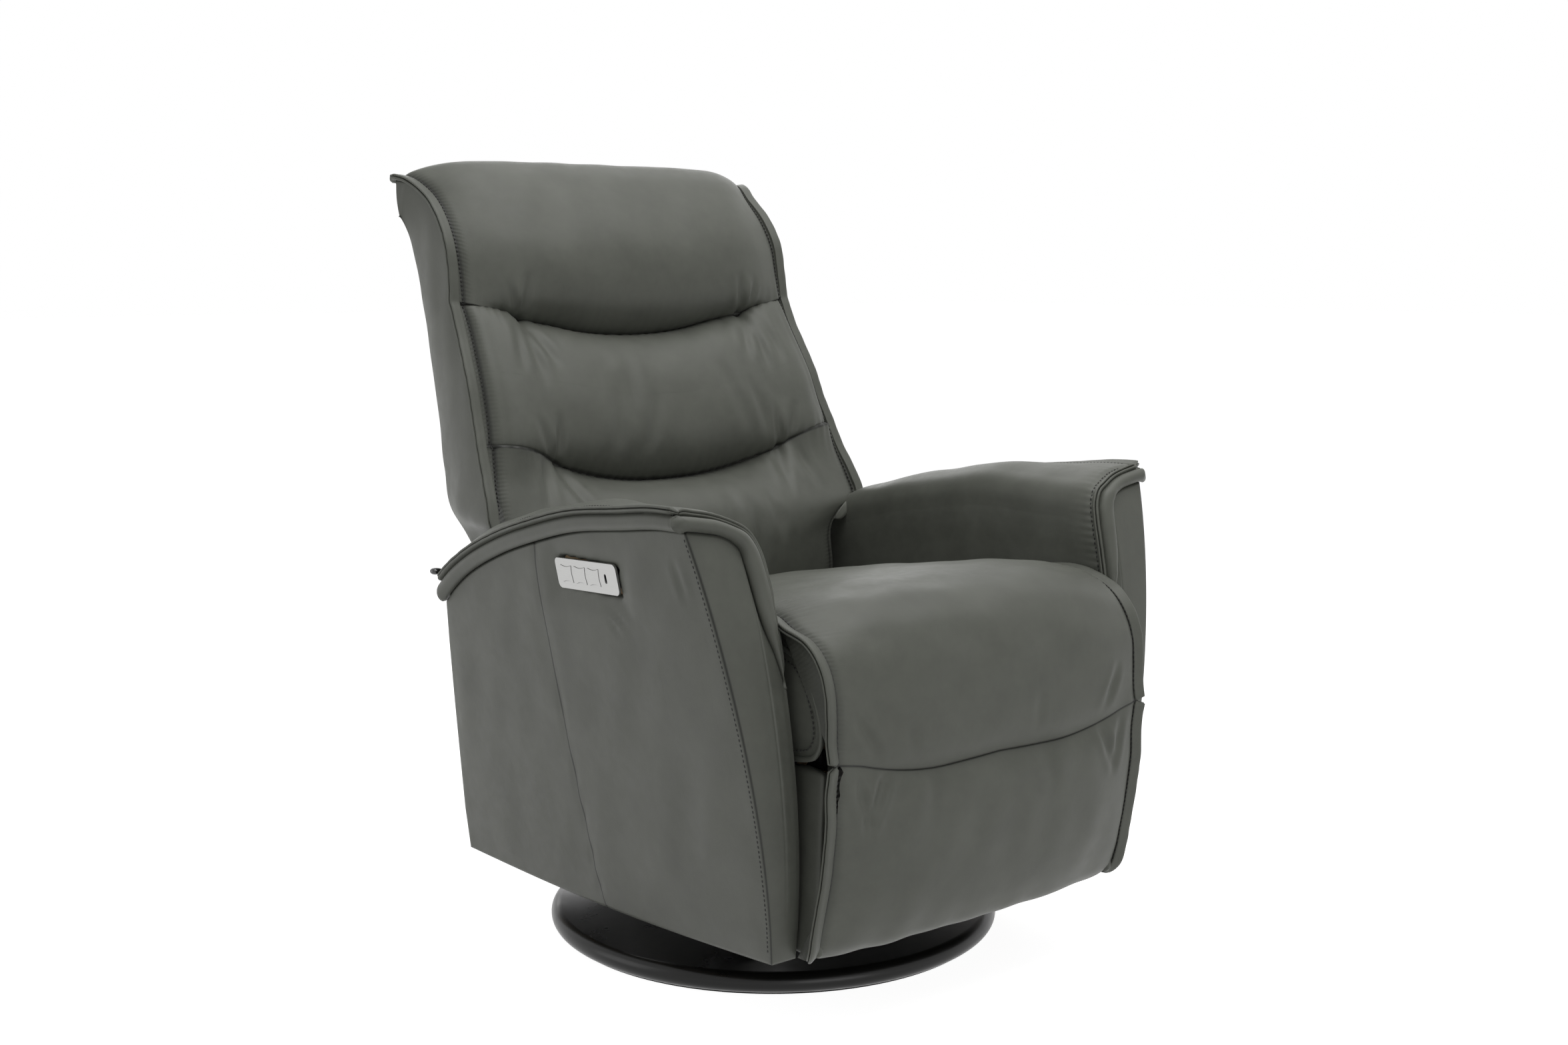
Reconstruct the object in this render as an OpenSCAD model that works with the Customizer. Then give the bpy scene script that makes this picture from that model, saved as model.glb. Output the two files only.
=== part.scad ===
// Power recliner armchair that swivels on a round wooden foot.
// Millimetres. The origin is the middle of the foot on the floor,
// -Y is the front, +Z is up, and the sitter's right hand is at -X.
// Heights above the chassis are measured from the top of the turntable.

/* [Foot and swivel] */
// Diameter of the round wooden foot
foot_d = 628; // [560:1:700]
// Thickness of the wooden foot
foot_t = 27; // [22:1:40]
// Thickness of the felt pad under the foot
felt_t = 3; // [2:0.5:6]
// How far the felt pad stays inside the rim of the foot
felt_inset = 14; // [12:1:60]
// Diameter of the swivel spindle
spindle_d = 60; // [40:1:70]
// Wall of the hub that holds the spindle
hub_wall = 10; // [6:1:16]
// Height of the hub above the foot
hub_h = 35; // [28:1:60]
// Diameter of the hub's flange
hub_flange_d = 200; // [160:1:260]
// Thickness of the hub's flange
hub_flange_t = 5; // [4:0.5:8]
// Thickness of the thrust washer
washer_t = 2.9; // [2:0.1:6]

/* [Chassis] */
// Width of the turntable plate across the chair
turntable_w = 420; // [410:1:440]
// Depth of the turntable plate
turntable_d = 240; // [220:1:300]
// Thickness of the turntable plate
turntable_t = 5; // [4:0.5:8]
// Distance from the middle of the chair to each rail's centre line
rail_x = 180; // [170:1:188]
// Width of a chassis rail
rail_w = 30; // [24:1:36]
// Height of a chassis rail
rail_h = 40; // [30:1:44]
// Wall of the steel tubes
tube_wall = 2; // [1.5:0.5:3]
// Front end of the rails
rail_front = 250; // [240:1:270]
// Rear end of the rails
rail_rear = 269; // [262:1:269]
// Height and depth of a cross tube
cross_s = 30; // [26:1:34]
// Distance from the origin to the front cross tube's centre line
cross_front = 205; // [190:1:225]
// Distance from the origin to the rear cross tube's centre line
cross_rear = 255; // [245:1:260]

/* [Side plates and pivots] */
// Distance from the middle of the chair to a side plate's inner face
plate_x = 235; // [233:0.5:237]
// Thickness of a side plate
plate_t = 4; // [3:0.5:5]
// Distance from the origin forward to the knee pivot
knee_y = 330; // [322:1:334]
// Height of the knee pivot above the turntable
knee_z = 332; // [326:1:340]
// Distance from the origin back to the recline pivot
recline_y = 215; // [210:1:222]
// Height of the recline pivot above the turntable
recline_z = 287; // [282:1:290]
// Diameter of the pivot pins
pin_d = 12; // [8:0.5:14]
// Radial clearance of a running fit
run_fit = 0.05; // [0.02:0.01:0.1]
// Clearance between parts that turn side by side
side_gap = 0.3; // [0.2:0.1:0.5]

/* [Seat] */
// Half of the width of the seat cushion
seat_w = 272; // [262:1:275]
// Distance from the origin forward to the seat cushion's front face
seat_front = 293; // [288:1:294]
// Distance from the origin back to the seat cushion's rear face
seat_rear = 152; // [140:1:155]
// Height of the seat cushion's underside above the turntable
seat_z = 290; // [284:1:300]
// Height of the cushion's crest over the knee above its underside
seat_crest = 165; // [150:1:175]
// Height of the cushion at its rear above its underside
seat_low = 94; // [80:1:110]
// Height of the wooden seat rails
seat_rail_h = 64; // [50:1:70]
// Thickness of the wooden seat rails
seat_rail_t = 21; // [18:1:22]
// Number of webbing straps under the seat cushion
strap_count = 6; // [4:1:6]
// Width of a webbing strap
strap_w = 55; // [40:1:60]
// Thickness of a webbing strap
strap_t = 2.5; // [2:0.5:4]

/* [Arms] */
// Outward lean of the arms in degrees
arm_lean = 10; // [8:0.5:12]
// Distance from the middle of the chair to an arm's outer face at the turntable's height
arm_x = 292; // [289:1:300]
// Thickness of the padded outer side panel
side_pad_t = 10; // [8:1:12]
// Thickness of the plywood in the arms
arm_ply = 18; // [15:1:20]
// Thickness of the padded panel on the front of an arm
arm_front_t = 16; // [12:1:20]
// Height of the arm's front corner above the turntable
arm_top_front = 573; // [550:1:590]
// Height of the arm's rear corner above the turntable
arm_top_rear = 402; // [390:1:412]
// Height of the leather band between the arm's flange and its side panel
band_h = 30; // [24:1:36]
// How far the flange stands out past the side panel
flange_out = 8; // [4:1:12]
// Distance from the middle of the chair to an arm's inner face
arm_inner = 278; // [276:1:284]
// Height above the turntable where the inner pads begin
inner_pad_z = 127; // [110:1:160]

/* [Back] */
// Height of the top of the back above the turntable
back_top = 997; // [970:1:1010]
// Half of the width of the back above the arms
back_w = 331; // [320:1:334]
// Half of the width of the back between the arms
back_core_w = 268; // [262:1:272]
// Height above the turntable where the back widens over the arms
shoulder_z = 484; // [478:1:500]
// Thickness of the padding around the sides and the rear of the back
shell_t = 22; // [16:1:28]
// How far the cushions stand out before the sides of the back
crown = 26; // [12:1:34]
// Lean of the back's posts in degrees
post_lean = 20; // [19:0.5:21]
// Width of a post
post_w = 24; // [20:1:26]
// Depth of a post
post_d = 40; // [34:1:44]

/* [Leg rest] */
// Distance from the origin forward to the leg rest's pivot
shin_y = 372; // [368:1:374]
// Height of the leg rest's pivot above the turntable
shin_z = 272; // [268:1:275]
// Height of the seam between the knee roll and the leg pad
seam_z = 279; // [277:1:282]
// Distance from the origin forward to the front face of the leg board
board_y = 385; // [384:1:388]
// Thickness of the leg board
board_t = 18; // [15:1:20]
// Half of the width of the leg board
board_w = 255; // [252:1:258]
// Height of the lower edge of the leg board above the turntable
board_low = 52; // [45:1:70]
// Distance from the origin forward to the front of the leg pad
pad_front = 431; // [420:1:436]
// Half of the width of the leg pad
pad_w = 275; // [268:1:277]
// Depth of the box behind the leg board
leg_box_d = 26; // [20:1:30]

/* [Drives] */
// Distance from the middle of the chair to each drive
drive_x = 60; // [50:1:90]
// Diameter of a drive's outer tube
drive_tube_d = 40; // [34:1:44]
// Diameter of a drive's push rod
rod_d = 20; // [16:1:24]
// Thickness of a crank arm
crank_t = 8; // [6:1:10]
// Width of a crank arm
crank_w = 26; // [25:1:30]
// Diameter of the pin in a rod end
rod_pin_d = 10; // [8:0.5:10]
// Height of the knee crank's pin below the knee pivot
knee_crank = 130; // [125:1:134]
// Height of the recline crank's pin below the recline pivot
recline_crank = 110; // [105:1:115]
// Angle that the knee turns through in degrees
knee_swing = 50; // [40:1:50]
// Angle that the back reclines through in degrees
recline_swing = 32; // [24:1:32]

/* [Controls] */
// Length of the control plate
panel_l = 135; // [128:1:150]
// Height of the control plate
panel_h = 39; // [34:1:42]
// Thickness of the control plate
panel_t = 3; // [2:0.5:4]
// Distance from the origin forward to the middle of the control plate
panel_y = 105; // [90:1:120]
// Height of the middle of the control plate above the turntable
panel_z = 468; // [455:1:472]
// Width of a button
button_w = 25; // [20:1:26]
// Height of a button
button_h = 22; // [18:1:24]
// Distance from one button to the next
button_pitch = 30.5; // [28:0.5:32]
// How far a button travels
button_travel = 1.5; // [1:0.1:2]

/* [Hidden] */

leather = [0.30, 0.32, 0.30];
steel = [0.25, 0.26, 0.27];
zinc = [0.62, 0.63, 0.64];
plywood = [0.76, 0.62, 0.43];
black = [0.05, 0.05, 0.05];

function rad(deg) = deg * PI / 180;
function mix(a, b, t) = a + (b - a) * t;
// A point of a cubic curve with four control points
function cubic(p, t) = pow(1 - t, 3) * p[0] + 3 * t * pow(1 - t, 2) * p[1]
    + 3 * t * t * (1 - t) * p[2] + pow(t, 3) * p[3];
function curve(p, n) = [for (i = [0:n]) cubic(p, i / n)];
function flip(list) = [for (i = [len(list) - 1:-1:0]) list[i]];

// A closed solid through rings of points, each ring counter-clockwise seen from the last one.
// Ends that aren't flat are closed by triangles from the ring's point named hub.
module skin(rings, hub = -1) {
    n = len(rings[0]);
    m = len(rings);
    walls = [for (i = [0:m - 2], j = [0:n - 1])
        let (a = i * n + j, b = i * n + (j + 1) % n) each [[a, b + n, b], [a, a + n, b + n]]];
    first = [for (j = [0:n - 1]) j];
    last = [for (j = [n - 1:-1:0]) (m - 1) * n + j];
    spokes = [for (j = [1:n - 2]) [hub, (hub + j) % n, (hub + j + 1) % n]];
    ends = hub < 0 ? [first, last] : concat(spokes, [for (t = spokes) [for (j = [2:-1:0]) (m - 1) * n + t[j]]]);
    polyhedron([for (r = rings) each r], concat(walls, ends));
}

// A flat outline drawn in Y and Z, extruded from x0 to x1
module slab_x(x0, x1) translate([x0, 0, 0]) rotate([90, 0, 90]) linear_extrude(x1 - x0) children();
// A flat outline drawn in X and Z, extruded from y0 to y1
module slab_y(y0, y1) translate([0, y1, 0]) rotate([90, 0, 0]) linear_extrude(y1 - y0) children();
module box(low, high) translate(low) cube(high - low);
module rod_x(x0, x1, y, z, d) translate([x0, y, z]) rotate([0, 90, 0]) cylinder(h = x1 - x0, d = d, $fn = 48);
module rounded(w, h, r) {
    square([w, h - 2 * r], center = true);
    square([w - 2 * r, h], center = true);
    for (x = [-1, 1], y = [-1, 1]) translate([x * (w / 2 - r), y * (h / 2 - r)]) circle(r, $fn = 32);
}
module both_sides() {
    children();
    mirror([1, 0, 0]) children();
}

foot_top = felt_t + foot_t;
hub_top = foot_top + hub_h;
touch_gap = 0.1;
// Clearance between soft parts and their neighbours
soft_gap = 1;
// Clearance between an arm's inner pad and its board
pad_gap = 0.3;
turntable_z = hub_top + washer_t + touch_gap;
deck = turntable_z + turntable_t;
module on_deck() translate([0, 0, deck]) children();

// ---- foot and swivel ----

hub_screw_r = hub_flange_d / 2 - 14;
hub_screw_d = 6;
rim_r = foot_t / 2;
hub_screw_len = foot_t * 0.7;
ring_z = 7;
ring_t = 2;

module felt_floor_pad() color("dimgray") cylinder(h = felt_t, r = foot_d / 2 - felt_inset, $fn = 96);

module wooden_foot() color(black) difference() {
    translate([0, 0, felt_t]) rotate_extrude($fn = 96) {
        square([foot_d / 2 - rim_r, foot_t]);
        translate([foot_d / 2 - rim_r, rim_r]) intersection() {
            circle(rim_r, $fn = 48);
            translate([0, -rim_r]) square([rim_r, foot_t]);
        }
    }
    for (a = [45:90:315]) rotate(a) translate([hub_screw_r, 0, foot_top - hub_screw_len])
        cylinder(h = hub_screw_len + 1, d = hub_screw_d, $fn = 24);
}

module swivel_hub() color(steel) difference() {
    union() {
        translate([0, 0, foot_top]) cylinder(h = hub_flange_t, d = hub_flange_d, $fn = 96);
        translate([0, 0, foot_top]) cylinder(h = hub_h, d = spindle_d + 2 * (run_fit + hub_wall), $fn = 96);
    }
    translate([0, 0, foot_top - 1]) cylinder(h = hub_h + 2, d = spindle_d + 2 * run_fit, $fn = 96);
    translate([0, 0, foot_top - 1]) cylinder(h = ring_z + ring_t + 3, d = spindle_d + hub_wall, $fn = 96);
    for (a = [45:90:315]) rotate(a) translate([hub_screw_r, 0, foot_top - 1])
        cylinder(h = hub_flange_t + 2, d = hub_screw_d + 1, $fn = 24);
}

module hub_screws() color(zinc) for (a = [45:90:315]) rotate(a) translate([hub_screw_r, 0, 0]) {
    translate([0, 0, foot_top - hub_screw_len]) cylinder(h = hub_screw_len + hub_flange_t, d = hub_screw_d, $fn = 24);
    translate([0, 0, foot_top + hub_flange_t]) cylinder(h = 3.5, d1 = 12, d2 = 8, $fn = 24);
}

module thrust_washer() color("ivory") translate([0, 0, hub_top]) difference() {
    cylinder(h = washer_t, d = spindle_d + 2 * (run_fit + hub_wall), $fn = 96);
    translate([0, 0, -1]) cylinder(h = washer_t + 2, d = spindle_d + 1, $fn = 96);
}

module turntable() color(steel) difference() {
    translate([0, 0, turntable_z]) linear_extrude(turntable_t) rounded(turntable_w, turntable_d, 20);
    for (x = [-1, 1], y = [-1, 1]) translate([x * rail_x, y * rail_bolt_y, turntable_z - 1])
        cylinder(h = turntable_t + 2, d = rail_bolt_d + 0.5, $fn = 24);
}
rail_bolt_y = 95;
rail_bolt_d = 8;

module swivel_spindle() color(zinc) difference() {
    translate([0, 0, foot_top + 6]) cylinder(h = turntable_z - foot_top - 6, d = spindle_d, $fn = 96);
    translate([0, 0, foot_top + ring_z]) difference() {
        cylinder(h = ring_t, d = spindle_d + 2, $fn = 96);
        translate([0, 0, -1]) cylinder(h = ring_t + 2, d = spindle_d - 5, $fn = 96);
    }
}

module spindle_ring() color(steel) translate([0, 0, foot_top + ring_z]) difference() {
    cylinder(h = ring_t, d = spindle_d + hub_wall / 2, $fn = 96);
    translate([0, 0, -1]) cylinder(h = ring_t + 2, d = spindle_d - 5, $fn = 96);
}

module rail_bolts() color(zinc) for (x = [-1, 1], y = [-1, 1]) translate([x * rail_x, y * rail_bolt_y, 0]) {
    translate([0, 0, turntable_z - 8]) cylinder(h = deck + rail_h - turntable_z + 8, d = rail_bolt_d, $fn = 24);
    translate([0, 0, deck + rail_h]) cylinder(h = 5, d = 14, $fn = 6);
    translate([0, 0, turntable_z - 6]) difference() {
        cylinder(h = 6, d = 14, $fn = 6);
        translate([0, 0, -1]) cylinder(h = 8, d = rail_bolt_d - 0.5, $fn = 24);
    }
}

// ---- chassis ----

module chassis_rails() color(steel) both_sides() on_deck() difference() {
    box([rail_x - rail_w / 2, -rail_front, 0], [rail_x + rail_w / 2, rail_rear, rail_h]);
    box([rail_x - rail_w / 2 + tube_wall, -rail_front - 1, tube_wall],
        [rail_x + rail_w / 2 - tube_wall, rail_rear + 1, rail_h - tube_wall]);
    for (y = [-1, 1]) translate([rail_x, y * rail_bolt_y, -1]) cylinder(h = rail_h + 2, d = rail_bolt_d + 0.5, $fn = 24);
}

lean_c = cos(arm_lean);
lean_s = sin(arm_lean);
bracket_t = 4;
// Places its children in an arm's own plane: X points out of the arm's outer face
module in_arm() translate([arm_x, 0, deck]) rotate([0, arm_lean, 0]) children();
arm_depth = side_pad_t + arm_ply;

module cross_tube(y) color(steel) difference() {
    on_deck() box([-arm_x - 40, y - cross_s / 2, rail_h], [arm_x + 40, y + cross_s / 2, rail_h + cross_s]);
    on_deck() box([-arm_x - 41, y - cross_s / 2 + tube_wall, rail_h + tube_wall],
        [arm_x + 41, y + cross_s / 2 - tube_wall, rail_h + cross_s - tube_wall]);
    both_sides() in_arm() box([-arm_depth - bracket_t, y - cross_s, -100], [200, y + cross_s, 300]);
}
module front_cross_tube() cross_tube(-cross_front);
module rear_cross_tube() cross_tube(cross_rear);

bracket_l = 100;
arm_bolt_d = 8;
arm_bolt_out = 36;
bracket_low = (rail_h - 6) / lean_c;
bracket_high = (rail_h + cross_s + 12) / lean_c;
arm_bolt_s = (bracket_low + bracket_high) / 2;
module arm_bolt_spots() for (y = [-cross_front, cross_rear], side = [-1, 1])
    translate([0, y + side * arm_bolt_out, arm_bolt_s]) rotate([0, 90, 0]) children();
module arm_brackets() color(steel) both_sides() in_arm() difference() {
    for (y = [-cross_front, cross_rear])
        box([-arm_depth - bracket_t, y - bracket_l / 2, bracket_low], [-arm_depth, y + bracket_l / 2, bracket_high]);
    arm_bolt_spots() translate([0, 0, -arm_depth - 20]) cylinder(h = 40, d = arm_bolt_d + 0.4, $fn = 24);
}
module arm_bolts() color(zinc) both_sides() in_arm() arm_bolt_spots() translate([0, 0, -arm_depth]) {
    translate([0, 0, -bracket_t]) cylinder(h = bracket_t + arm_ply - 4, d = arm_bolt_d, $fn = 24);
    translate([0, 0, -bracket_t - 5]) cylinder(h = 5, d = 14, $fn = 24);
}

// The side plates stand on the cross tubes and hold the knee and recline pivots
plate_z = rail_h + cross_s;
ear_r = 16;
// How far the side plates reach up the seat rails, and the screw holes there
rail_lap = 24;
rail_screw_d = 5;
seat_rail_x = plate_x + plate_t;
seat_rail_z = seat_z - strap_t - seat_rail_h;
front_rail_y = seat_front - 40;
rear_rail_y = seat_rear - 5;
rail_screw_y = [-front_rail_y + 40, rear_rail_y - 55];
module side_plates() color(steel) both_sides() on_deck() difference() {
    union() {
        slab_x(plate_x, plate_x + plate_t) polygon([
            [-cross_front - cross_s, plate_z], [cross_rear + cross_s / 2, plate_z],
            [cross_rear + cross_s / 2, plate_z + 60], [recline_y + ear_r, recline_z],
            [recline_y - ear_r, recline_z], [recline_y - 60, seat_rail_z + rail_lap],
            [-knee_y + 50, seat_rail_z + rail_lap], [-knee_y + ear_r, knee_z],
            [-knee_y - ear_r, knee_z], [-knee_y + 6, plate_z + 90]]);
        for (p = [[-knee_y, knee_z], [recline_y, recline_z]]) rod_x(plate_x, plate_x + plate_t, p[0], p[1], 2 * ear_r);
    }
    for (p = [[-knee_y, knee_z], [recline_y, recline_z]])
        rod_x(plate_x - 1, plate_x + plate_t + 1, p[0], p[1], pin_d + 2 * run_fit);
    for (y = rail_screw_y) rod_x(plate_x - 1, plate_x + plate_t + 1, y, seat_rail_z + rail_lap / 2, rail_screw_d + 1);
}

bracket_x = plate_x - side_gap;
module recline_pins() color(zinc) both_sides() on_deck() {
    rod_x(bracket_x - plate_t - 3, plate_x + plate_t, recline_y, recline_z, pin_d);
    rod_x(plate_x + plate_t, plate_x + plate_t + 4, recline_y, recline_z, pin_d + 8);
}

// ---- seat ----

module seat_side_rails() color(plywood) both_sides() on_deck() difference() {
    box([seat_rail_x, -front_rail_y, seat_rail_z], [seat_rail_x + seat_rail_t, rear_rail_y, seat_rail_z + seat_rail_h]);
    for (y = rail_screw_y) rod_x(seat_rail_x - 1, seat_rail_x + 14, y, seat_rail_z + rail_lap / 2, rail_screw_d);
}
module seat_front_rail() color(plywood) on_deck()
    box([-plate_x, -front_rail_y, seat_rail_z], [plate_x, -front_rail_y + seat_rail_t, seat_rail_z + seat_rail_h]);
module seat_rear_rail() color(plywood) on_deck()
    box([-plate_x, rear_rail_y - seat_rail_t, seat_rail_z], [plate_x, rear_rail_y, seat_rail_z + seat_rail_h]);
strap_pitch = 2 * (seat_rail_x - strap_w / 2 - 8) / (strap_count - 1);
module seat_webbing() color(black) on_deck() for (i = [0:strap_count - 1])
    translate([(i - (strap_count - 1) / 2) * strap_pitch, 0, 0])
        box([-strap_w / 2, -front_rail_y, seat_z - strap_t], [strap_w / 2, rear_rail_y, seat_z]);

// Height of the seat's top surface above its underside, from the front to the rear
function seat_top(y) = seat_low + (seat_crest - seat_low) * pow((seat_rear - y) / (seat_rear + seat_front), 0.9);
// How far the crowned top falls towards the seat's sides
seat_edge = 24;
module seat_cushion() color(leather) on_deck() skin([for (i = [0:8])
    let (y = mix(-seat_front, seat_rear, 1 - i / 8), h = seat_z + seat_top(y))
        concat([[-seat_w, y, seat_z], [seat_w, y, seat_z]],
            [for (k = [6:-1:-6]) [seat_w * k / 6, y, h - seat_edge * pow(abs(k / 6), 4)]])]);

// The soft roll over the knee, from the seat cushion down to the leg pad's seam
roll_in = [[-seat_front, seat_z + 95], [-knee_y, seat_z + 95], [-board_y, knee_z + 40], [-board_y, seam_z]];
roll_out = [[-seat_front, seat_z + seat_crest - 2], [-pad_front + 20, seat_z + seat_crest + 10],
            [-pad_front, seat_z + 110], [-pad_front, seam_z]];
module knee_roll() color(leather) on_deck() slab_x(-seat_w + 6, seat_w - 6)
    polygon(concat(curve(roll_out, 14), flip(curve(roll_in, 10))));

// ---- arms ----

arm_lip = [[270, arm_top_rear], [170, arm_top_rear + 87], [-80, arm_top_front - 12], [-313, arm_top_front]];
arm_front = [[-313, arm_top_front], [-350, arm_top_front - 86], [-410, 257], [-366, 31]];
arm_rear = [[343, 1], [331, 100], [316, 230], [270, arm_top_rear]];
arm_low_mid = [100, -2];
// Everything below the arm's flange line, lowered by drop
module below_lip(drop, c) polygon([for (p = concat([[600, arm_top_rear - drop]],
    [for (q = curve(arm_lip, 14)) [q[0], q[1] - drop]],
    [[-600, arm_top_front - drop], [-600, -200], [600, -200]])) [p[0], p[1] / c]]);
// Everything between the arm's front edge and its rear edge, moved in at each
module arm_depth_shape(front_in, rear_in, c) polygon([for (p = concat([[-313 + front_in, 800]],
    [for (q = curve(arm_front, 12)) [q[0] + front_in, q[1]]], [arm_low_mid],
    [for (q = curve(arm_rear, 6)) [q[0] - rear_in, q[1]]], [[270 - rear_in, 800]])) [p[0], p[1] / c]]);
module arm_profile(front_in, rear_in, drop) intersection() {
    below_lip(drop, lean_c);
    arm_depth_shape(front_in, rear_in, lean_c);
}

housing_l = panel_l - 14;
housing_h = panel_h - 13;
housing_d = 24;
panel_tilt = 3;
// Places its children on the control plate: X along the plate to the rear, Y up, Z out of the arm
module on_panel() mirror([1, 0, 0]) in_arm() translate([0, -panel_y, panel_z / lean_c])
    rotate([-panel_tilt, 0, 0]) rotate([90, 0, 90]) children();

module arm_board() color(plywood) difference() {
    in_arm() slab_x(-arm_depth, -side_pad_t) arm_profile(arm_front_t + 2.5, 8, band_h + arm_depth * lean_s + soft_gap);
    in_arm() arm_bolt_spots() translate([0, 0, -arm_depth - 1]) cylinder(h = arm_ply - 3, d = arm_bolt_d, $fn = 24);
}
module left_arm_board() arm_board();
module housing_hole() on_panel() translate([0, 0, -housing_d - 1]) linear_extrude(housing_d + 2)
    rounded(housing_l + 0.4, housing_h + 0.4, 3);
module right_arm_board() color(plywood) difference() {
    mirror([1, 0, 0]) arm_board();
    housing_hole();
}
module arm_side_pad() color(leather) in_arm() slab_x(-side_pad_t, 0)
    arm_profile(arm_front_t + 1, 0, band_h + side_pad_t * lean_s + soft_gap);
module left_arm_side_pad() arm_side_pad();
module right_arm_side_pad() color(leather) difference() {
    mirror([1, 0, 0]) arm_side_pad();
    housing_hole();
}

function arm_out(z) = arm_x + z * tan(arm_lean);
function arm_in(z) = arm_out(z) - arm_depth / lean_c;
// The outline of an arm's front, seen from before the chair
front_panel = concat([[arm_inner - 12, 31], [arm_inner - 4, 250]],
    curve([[arm_inner, arm_top_front - 150], [arm_inner, arm_top_front - 60],
           [arm_inner + 12, arm_top_front - 44], [arm_inner + 44, arm_top_front - band_h - 6]], 6),
    [[arm_out(arm_top_front - band_h), arm_top_front - band_h], [arm_out(31), 31]]);
module arm_front_pad() color(leather) on_deck() intersection() {
    slab_x(0, 600) difference() {
        arm_depth_shape(0, 0, 1);
        arm_depth_shape(arm_front_t, -50, 1);
    }
    slab_y(-500, 0) polygon(front_panel);
}
module left_arm_front_pad() arm_front_pad();
module right_arm_front_pad() mirror([1, 0, 0]) arm_front_pad();

// The padded inner side and top of an arm, with its flange along the outer edge
function lip_z(y) = lookup(y, [for (q = flip(curve(arm_lip, 14))) q]);
function arm_front_y(z) = lookup(z, [for (q = flip(curve(arm_front, 12))) [q[1], q[0]]]);
function arm_rear_y(z) = lookup(z, [for (q = curve(arm_rear, 6)) [q[1], q[0]]]);
// A point's depth at the share t of the way along the pad, whose ends follow the arm's front and rear edges
function pad_y(t, z) = mix(-313, 270, t) + pow(1 - t, 6) * (arm_front_y(z) + 313 + arm_front_t + 0.5)
    + pow(t, 6) * (arm_rear_y(z) - 270);
function pad_ring(t) = let (z = lip_z(mix(-313, 270, t)), seam = z - band_h) [for (p = concat(
    [[arm_inner - 2, inner_pad_z]],
    curve([[arm_inner + 3, z - 150], [arm_inner + 3, z - 50], [arm_inner + 18, z - 22], [arm_inner + 56, z - 18]], 6),
    [[arm_out(z) + flange_out, z], [arm_out(z) + flange_out, z - 7], [arm_out(z - 16), z - 16],
     [arm_out(seam), seam], [arm_in(seam) - pad_gap, seam],
     [arm_in(inner_pad_z) - pad_gap, inner_pad_z]])) [p[0], pad_y(t, p[1]), p[1]]];
module arm_inner_pad() color(leather) on_deck() skin([for (i = [0:20]) pad_ring(i / 20)], 12);
module left_arm_inner_pad() arm_inner_pad();
module right_arm_inner_pad() mirror([1, 0, 0]) arm_inner_pad();

rear_cover_t = 10;
rear_cover_top = recline_z - 62;
rear_cover_y = cross_rear + cross_s / 2;
inlet_x = 140;
inlet_z = plate_z + 20;
inlet_w = 14;
inlet_h = 10;
// Half of the rear cover's width: it passes the arm brackets and then the inner pads
function cover_w(z) = min(arm_in(z) - bracket_t / lean_c - 1, arm_inner - 3);
cover_heights = [4, inner_pad_z * 0.75, rear_cover_top];
module rear_cover() color(leather) on_deck() difference() {
    slab_y(rear_cover_y, rear_cover_y + rear_cover_t) polygon(concat(
        [for (z = cover_heights) [-cover_w(z), z]], [for (z = flip(cover_heights)) [cover_w(z), z]]));
    box([inlet_x - inlet_w / 2 - 6, rear_cover_y - 1, inlet_z - inlet_h / 2 - 6],
        [inlet_x + inlet_w / 2 + 6, rear_cover_y + rear_cover_t + 1, inlet_z + inlet_h / 2 + 6]);
}
// The drives' control box, with the socket for the power lead facing the rear
module power_box() color(black) on_deck() difference() {
    union() {
        box([inlet_x - 45, rear_cover_y - cross_s, plate_z], [inlet_x + 45, rear_cover_y, plate_z + 42]);
        box([inlet_x - inlet_w / 2 - 5, rear_cover_y - 1, inlet_z - inlet_h / 2 - 5],
            [inlet_x + inlet_w / 2 + 5, rear_cover_y + rear_cover_t + 1, inlet_z + inlet_h / 2 + 5]);
    }
    box([inlet_x - inlet_w / 2, rear_cover_y - 8, inlet_z - inlet_h / 2],
        [inlet_x + inlet_w / 2, rear_cover_y + rear_cover_t + 2, inlet_z + inlet_h / 2]);
}

// ---- controls ----

usb_x = -panel_l / 2 + 25;
buttons = [for (i = [0:2]) panel_l / 2 - 24 - i * button_pitch];
wall_t = 1.6;
module button_shape(less) difference() {
    square([button_w - less, button_h - less], center = true);
    for (a = [0, 180]) rotate(a) {
        translate([button_w * 1.5 + button_w / 2 - 1.6 - less / 2, 0]) circle(button_w * 1.5, $fn = 96);
        translate([0, button_h * 1.5 + button_h / 2 - 1.6 - less / 2]) circle(button_h * 1.5, $fn = 96);
    }
}
usb_w = 3.4;
usb_h = 10;
module control_plate() color("silver") on_panel() difference() {
    linear_extrude(panel_t) rounded(panel_l, panel_h, 7);
    translate([0, 0, -1]) linear_extrude(panel_t + 2) for (x = buttons) translate([x, 0]) button_shape(0);
    translate([usb_x, 0, -1]) linear_extrude(panel_t + 2) rounded(usb_w + 1.4, usb_h + 2, 2);
}
module control_housing() color(black) on_panel() difference() {
    translate([0, 0, -housing_d]) linear_extrude(housing_d) rounded(housing_l, housing_h, 3);
    translate([0, 0, -housing_d + wall_t]) linear_extrude(housing_d)
        rounded(housing_l - 2 * wall_t, housing_h - 2 * wall_t, 2);
}
module usb_port() color(black) on_panel() translate([usb_x, 0, 0]) difference() {
    translate([0, 0, -housing_d + wall_t]) linear_extrude(housing_d - wall_t + panel_t - 0.4)
        rounded(usb_w + 1.2, usb_h + 1.8, 2);
    translate([0, 0, -6]) linear_extrude(20) rounded(usb_w - 0.6, usb_h - 1, 1.2);
}
button_stem = 8;
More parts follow.
